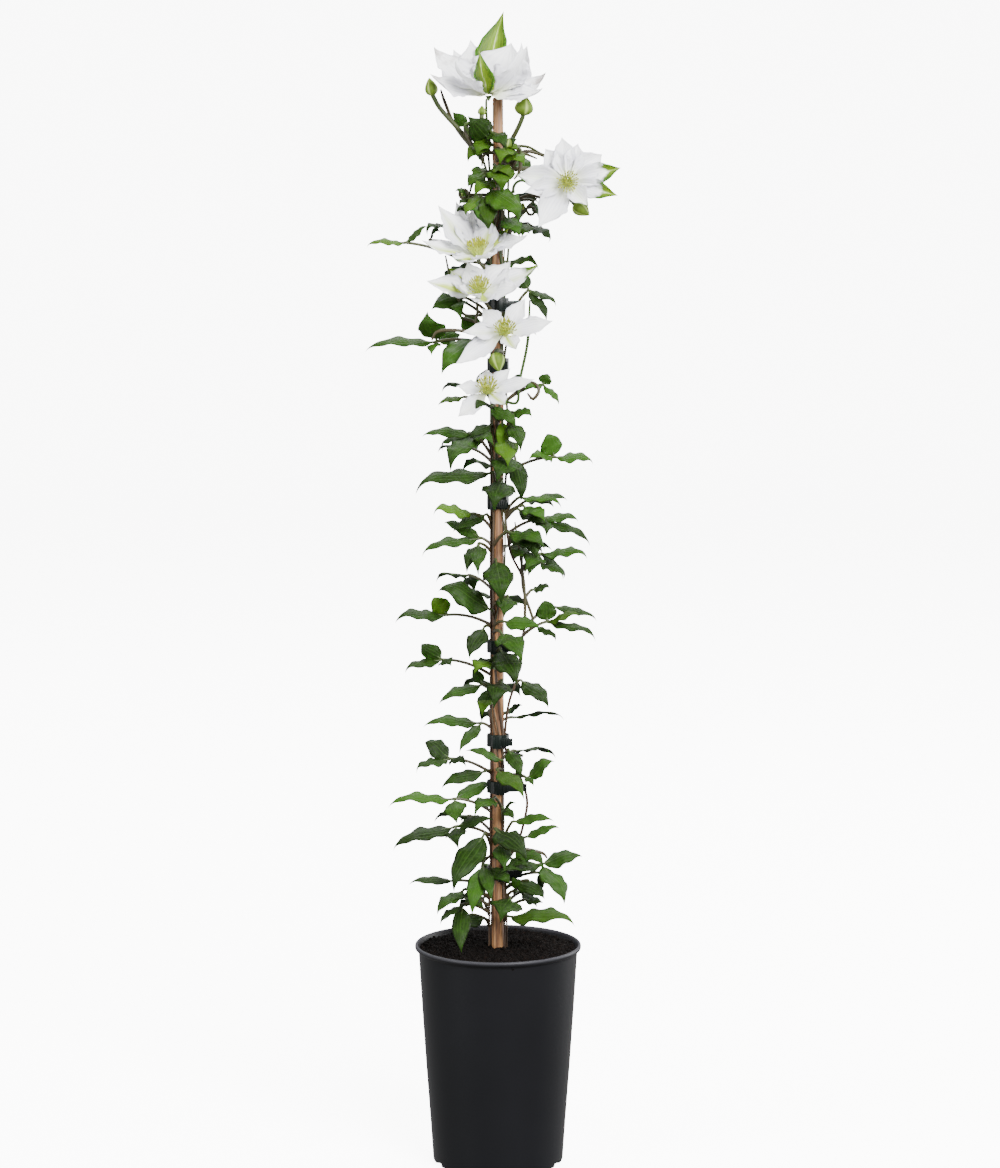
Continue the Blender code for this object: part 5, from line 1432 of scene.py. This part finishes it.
budShape = {
    "sides": 24, "rows": 18, "ribs": 4.0, "ribDepth": 0.12, "ribSharpness": 5.0, "fuller": 1.2, "sunk": 0.8,
    "belly": 0.75, "roundness": 0.8, "taper": 0.25, "blunt": 0.02,
}


def makeBuds():
    points, faces, ribs = [], [], []
    sides, rows = budShape["sides"], budShape["rows"]
    for _, _, _, foot, tip, radius in budRows:
        foot, tip = Vector(foot), Vector(tip)
        length = (tip - foot).length + budShape["sunk"]
        turn = (tip - foot).to_track_quat("Z", "Y").to_matrix()
        start = len(points)
        for row in range(rows):
            share = row / (rows - 1)
            swell = 0.0
            if 0.0 < share < 1.0:
                swell = math.sin(math.pi * share ** budShape["belly"]) ** budShape["roundness"]
            swell = swell * (1.0 - budShape["taper"] * share) + budShape["blunt"]
            for i in range(sides):
                angle = math.tau * i / sides
                groove = abs(math.cos(angle * budShape["ribs"] * 0.5))
                size = radius * budShape["fuller"] * swell
                size *= 1.0 - budShape["ribDepth"] * (1.0 - groove ** 0.5)
                spot = (size * math.cos(angle), size * math.sin(angle), share * length - budShape["sunk"])
                points.append((foot + turn @ Vector(spot)) * mm)
                ribs.append(max(0.0, 1.0 - groove * budShape["ribSharpness"]))
        faces += ringFaces(start, sides, [(row, row + 1) for row in range(rows - 1)])
        faces.append(tuple(start + i for i in reversed(range(sides))))
        faces.append(tuple(start + (rows - 1) * sides + i for i in range(sides)))
    mesh = bpy.data.meshes.new("bud_heads")
    mesh.from_pydata(points, [], faces)
    mesh.attributes.new("budRib", "FLOAT", "POINT").data.foreach_set("value", ribs)
    mesh.materials.append(looks["bud"])
    smooth(mesh)
    return dress(link(bpy.data.objects.new("bud_heads", mesh)), "clematis_green")


makeBuds()
print("stage: stems, leaves and buds made")

# flowers
tepalShape = {
    "stationsAcross": 13, "stationsAlong": 33, "thickness": 0.0006, "fold": 0.16, "edgeWave": 0.06,
    "waveCount": 1.9, "ruffle": 0.03, "ruffleCount": 6.5, "sway": 0.03, "lobeDepth": 0.045, "lobeCount": 4.3,
    "tipDroop": -0.05, "curl": 0.10,
}
bloomLayout = {"foot": 3.0, "layer": 0.75, "lookFrom": 0.9}

# how far side tepals turn their outer face to the front, and how wide and how folded tepals are
bloomTurn = {"bloom_1": 34.0}
bloomWiden = {
    "bloom_1": 1.12, "bloom_2": 0.9, "bloom_3": 1.14, "bloom_4": 1.06, "bloom_5": 0.8, "bloom_6": 0.7,
}
bloomFold = {"bloom_2": 0.34, "bloom_5": 0.24, "bloom_6": 0.24}

# single tepals: tip moved by, middle moved by, share of the width
tepalChanges = {
    ("bloom_1", 5): ((1, 13, 5), (-11, 8, 2), 0.84), ("bloom_1", 6): ((0, -2, 2), (3, -5, 0), 0.92),
    ("bloom_1", 11): ((5, 0, 0), (5, 0, 0), 0.95),
}

# a white tepal in the middle of the top flower
extraTepals = {"bloom_1": (((11, 7, 1003), 52, -0.16),)}


def makeTepals(name, centre, facing, tepals, draw):
    blades = Blades()
    for index, (tip, width, arch) in enumerate(tepals):
        usual = ((0, 0, 0), (0, 0, 0), bloomWiden[name])
        moved, bent, share = tepalChanges.get((name, index), usual)
        tip = Vector(tip) + Vector(moved)
        out = tip - centre
        out = (out - facing * out.dot(facing)).normalized()
        level = bloomLayout["layer"] if index % 2 else -bloomLayout["layer"]
        base = centre + out * bloomLayout["foot"] + facing * level
        look = centre + facing * (tip - centre).length * bloomLayout["lookFrom"] - (base + tip) * 0.5
        across, control = bladeFrame(base, tip, look, arch)
        marks = tepalMarks[name].get(index, (0, 0, 0))
        if marks[0] < 1.0:
            roll = math.radians(bloomTurn.get(name, 0.0)) * across.y
            across = (Matrix.Rotation(-roll, 3, (tip - base).normalized()) @ across).normalized()
        blades.add(base, control + Vector(bent), tip, across, width * share, draw.random(), marks)
    shape = {**tepalShape, "fold": bloomFold.get(name, tepalShape["fold"])}
    dress(blades.make(f"{name}_petals", shape, "tepal"), "tepal_white", f"{name}_tepals")


# bends: share of the reach and of the height; the path of the heart: distance from the axis and rise
stamenShape = {
    "spacing": 0.0012, "sides": 7, "wobble": 0.0, "wobbleScale": 100.0, "foot": 1.5,
    "bends": ((0.35, 0.45), (0.75, 0.78)), "antherFrom": 0.35,
    "radii": (0.34, 0.30, 0.30, 0.62, 0.45), "ages": (0.0, 0.05, 0.2, 1.0, 1.0),
    "heart": 14, "heartPath": ((0.6, 0.0), (1.5, 5.0), (1.1, 8.6)),
    "heartRadii": (0.75, 0.65, 0.3), "heartAges": (0.35, 0.4, 0.5),
}

# rings of stamens: reach at the foot, reach at the top, height, how many
stamenRings = ((1.6, 3.4, 14.5, 14), (2.6, 6.0, 15.6, 18), (3.4, 8.6, 14.4, 20), (3.8, 10.2, 11.5, 14))


# rings of stamens that lean out round an upright heart
def makeStamens(name, centre, facing, draw):
    lines = Lines()
    turn = facing.to_track_quat("Z", "Y").to_matrix()
    foot, heart = stamenShape["foot"], stamenShape["heart"]

    def at(radius, angle, height):
        return centre + turn @ Vector((radius * math.cos(angle), radius * math.sin(angle), height))

    for inner, outer, height, count in stamenRings:
        for i in range(count):
            angle = math.tau * (i + draw.random() * 0.6) / count
            top = height * (0.9 + 0.15 * draw.random())
            wide = outer * (0.85 + 0.2 * draw.random())
            bends = [(inner + (wide - inner) * reach, top * level) for reach, level in stamenShape["bends"]]
            path = [at(radius, angle, rise) for radius, rise in [(inner, foot), *bends, (wide, top)]]
            path.insert(3, path[2].lerp(path[3], stamenShape["antherFrom"]))
            lines.add(path, stamenShape["radii"], stamenShape["ages"])
    for i in range(heart):
        angle = math.tau * (i + draw.random() * 0.4) / heart
        path = [at(radius, angle, foot + rise) for radius, rise in stamenShape["heartPath"]]
        lines.add(path, stamenShape["heartRadii"], stamenShape["heartAges"])
    dress(lines.make(f"{name}_filaments", stamenShape, "stamen"), "stamen_yellow", f"{name}_stamens")


for number, (bloomName, (centre, facing, tepals)) in enumerate(bloomRows.items()):
    draw = random.Random(seeds["blooms"] + number)
    centre, facing = Vector(centre), Vector(facing).normalized()
    makeTepals(bloomName, centre, facing, tepals + extraTepals.get(bloomName, ()), draw)
    makeStamens(bloomName, centre, facing, draw)
print("stage: flowers made")

# floor, light and camera
stageLook = {
    "floor": "#f7f7f6", "roughness": 0.9, "gloss": 0.2, "glow": 8.0, "halfWidth": 9.0, "front": -9.0,
    "bend": 6.0, "radius": 1.0, "steps": 12, "top": 9.5,
}


# white sweep of matt acrylic that glows a little, so that it reads as plain white
def makeStage():
    material = fillShader(newMaterial("paleFloor")[0], {
        "Base Color": stageLook["floor"], "Roughness": stageLook["roughness"],
        "Specular IOR Level": stageLook["gloss"], "Emission Color": (1.0, 1.0, 1.0, 1.0),
        "Emission Strength": stageLook["glow"],
    })
    bend, radius, wide = stageLook["bend"], stageLook["radius"], stageLook["halfWidth"]
    profile = [(stageLook["front"], 0.0), (bend, 0.0)]
    for i in range(1, stageLook["steps"] + 1):
        turn = math.pi * 0.5 * i / stageLook["steps"]
        profile.append((bend + radius * math.sin(turn), radius * (1.0 - math.cos(turn))))
    profile.append((bend + radius, stageLook["top"]))
    points = [(x, y, z) for y, z in profile for x in (-wide, wide)]
    faces = [(2 * i, 2 * i + 1, 2 * i + 3, 2 * i + 2) for i in range(len(profile) - 1)]
    mesh = bpy.data.meshes.new("backdrop")
    mesh.from_pydata(points, [], faces)
    mesh.materials.append(material)
    smooth(mesh)
    backdrop = link(bpy.data.objects.new("backdrop", mesh))
    backdrop.visible_glossy = False
    backdrop.visible_diffuse = False


# lights: place, point they look at, width and height, power
lightRows = {
    "keyLight": ((1.3, -2.3, 2.1), (0.0, 0.0, 0.6), (1.5, 1.6), 330.0),
    "fillLight": ((-2.1, -1.4, 1.0), (0.0, 0.0, 0.5), (0.7, 2.0), 65.0),
    "sideLight": ((2.0, 1.1, 0.8), (0.0, 0.0, 0.5), (0.6, 1.8), 60.0),
    "backLight": ((0.0, 1.9, 3.2), (0.0, 2.4, 0.0), (3.0, 1.6), 230.0),
}
worldLook = {"colour": (1.0, 1.0, 1.0, 1.0), "strength": 0.7}


def makeLight():
    for name, (place, target, size, power) in lightRows.items():
        data = bpy.data.lights.new(name, "AREA")
        data.shape = "RECTANGLE"
        data.size, data.size_y = size
        data.energy = power
        made = link(bpy.data.objects.new(name, data))
        made.location = place
        made.rotation_euler = (Vector(target) - Vector(place)).to_track_quat("-Z", "Y").to_euler()
    world = bpy.data.worlds.new("softWorld")
    world.use_nodes = True
    back = world.node_tree.nodes["Background"]
    back.inputs["Color"].default_value = worldLook["colour"]
    back.inputs["Strength"].default_value = worldLook["strength"]
    bpy.context.scene.world = world


cameraView = {"place": (0.0018, -2.8, 0.867), "tilt": 83.07, "lens": 97.62, "sensor": 36.0, "near": 0.05}


def makeCamera():
    data = bpy.data.cameras.new("photoCamera")
    data.sensor_fit = "AUTO"
    data.sensor_width = cameraView["sensor"]
    data.lens = cameraView["lens"]
    data.clip_start = cameraView["near"]
    made = link(bpy.data.objects.new("photoCamera", data))
    made.location = cameraView["place"]
    made.rotation_euler = (math.radians(cameraView["tilt"]), 0.0, 0.0)
    bpy.context.scene.camera = made


makeStage()
makeLight()
makeCamera()
print("stage: floor, light and camera made")
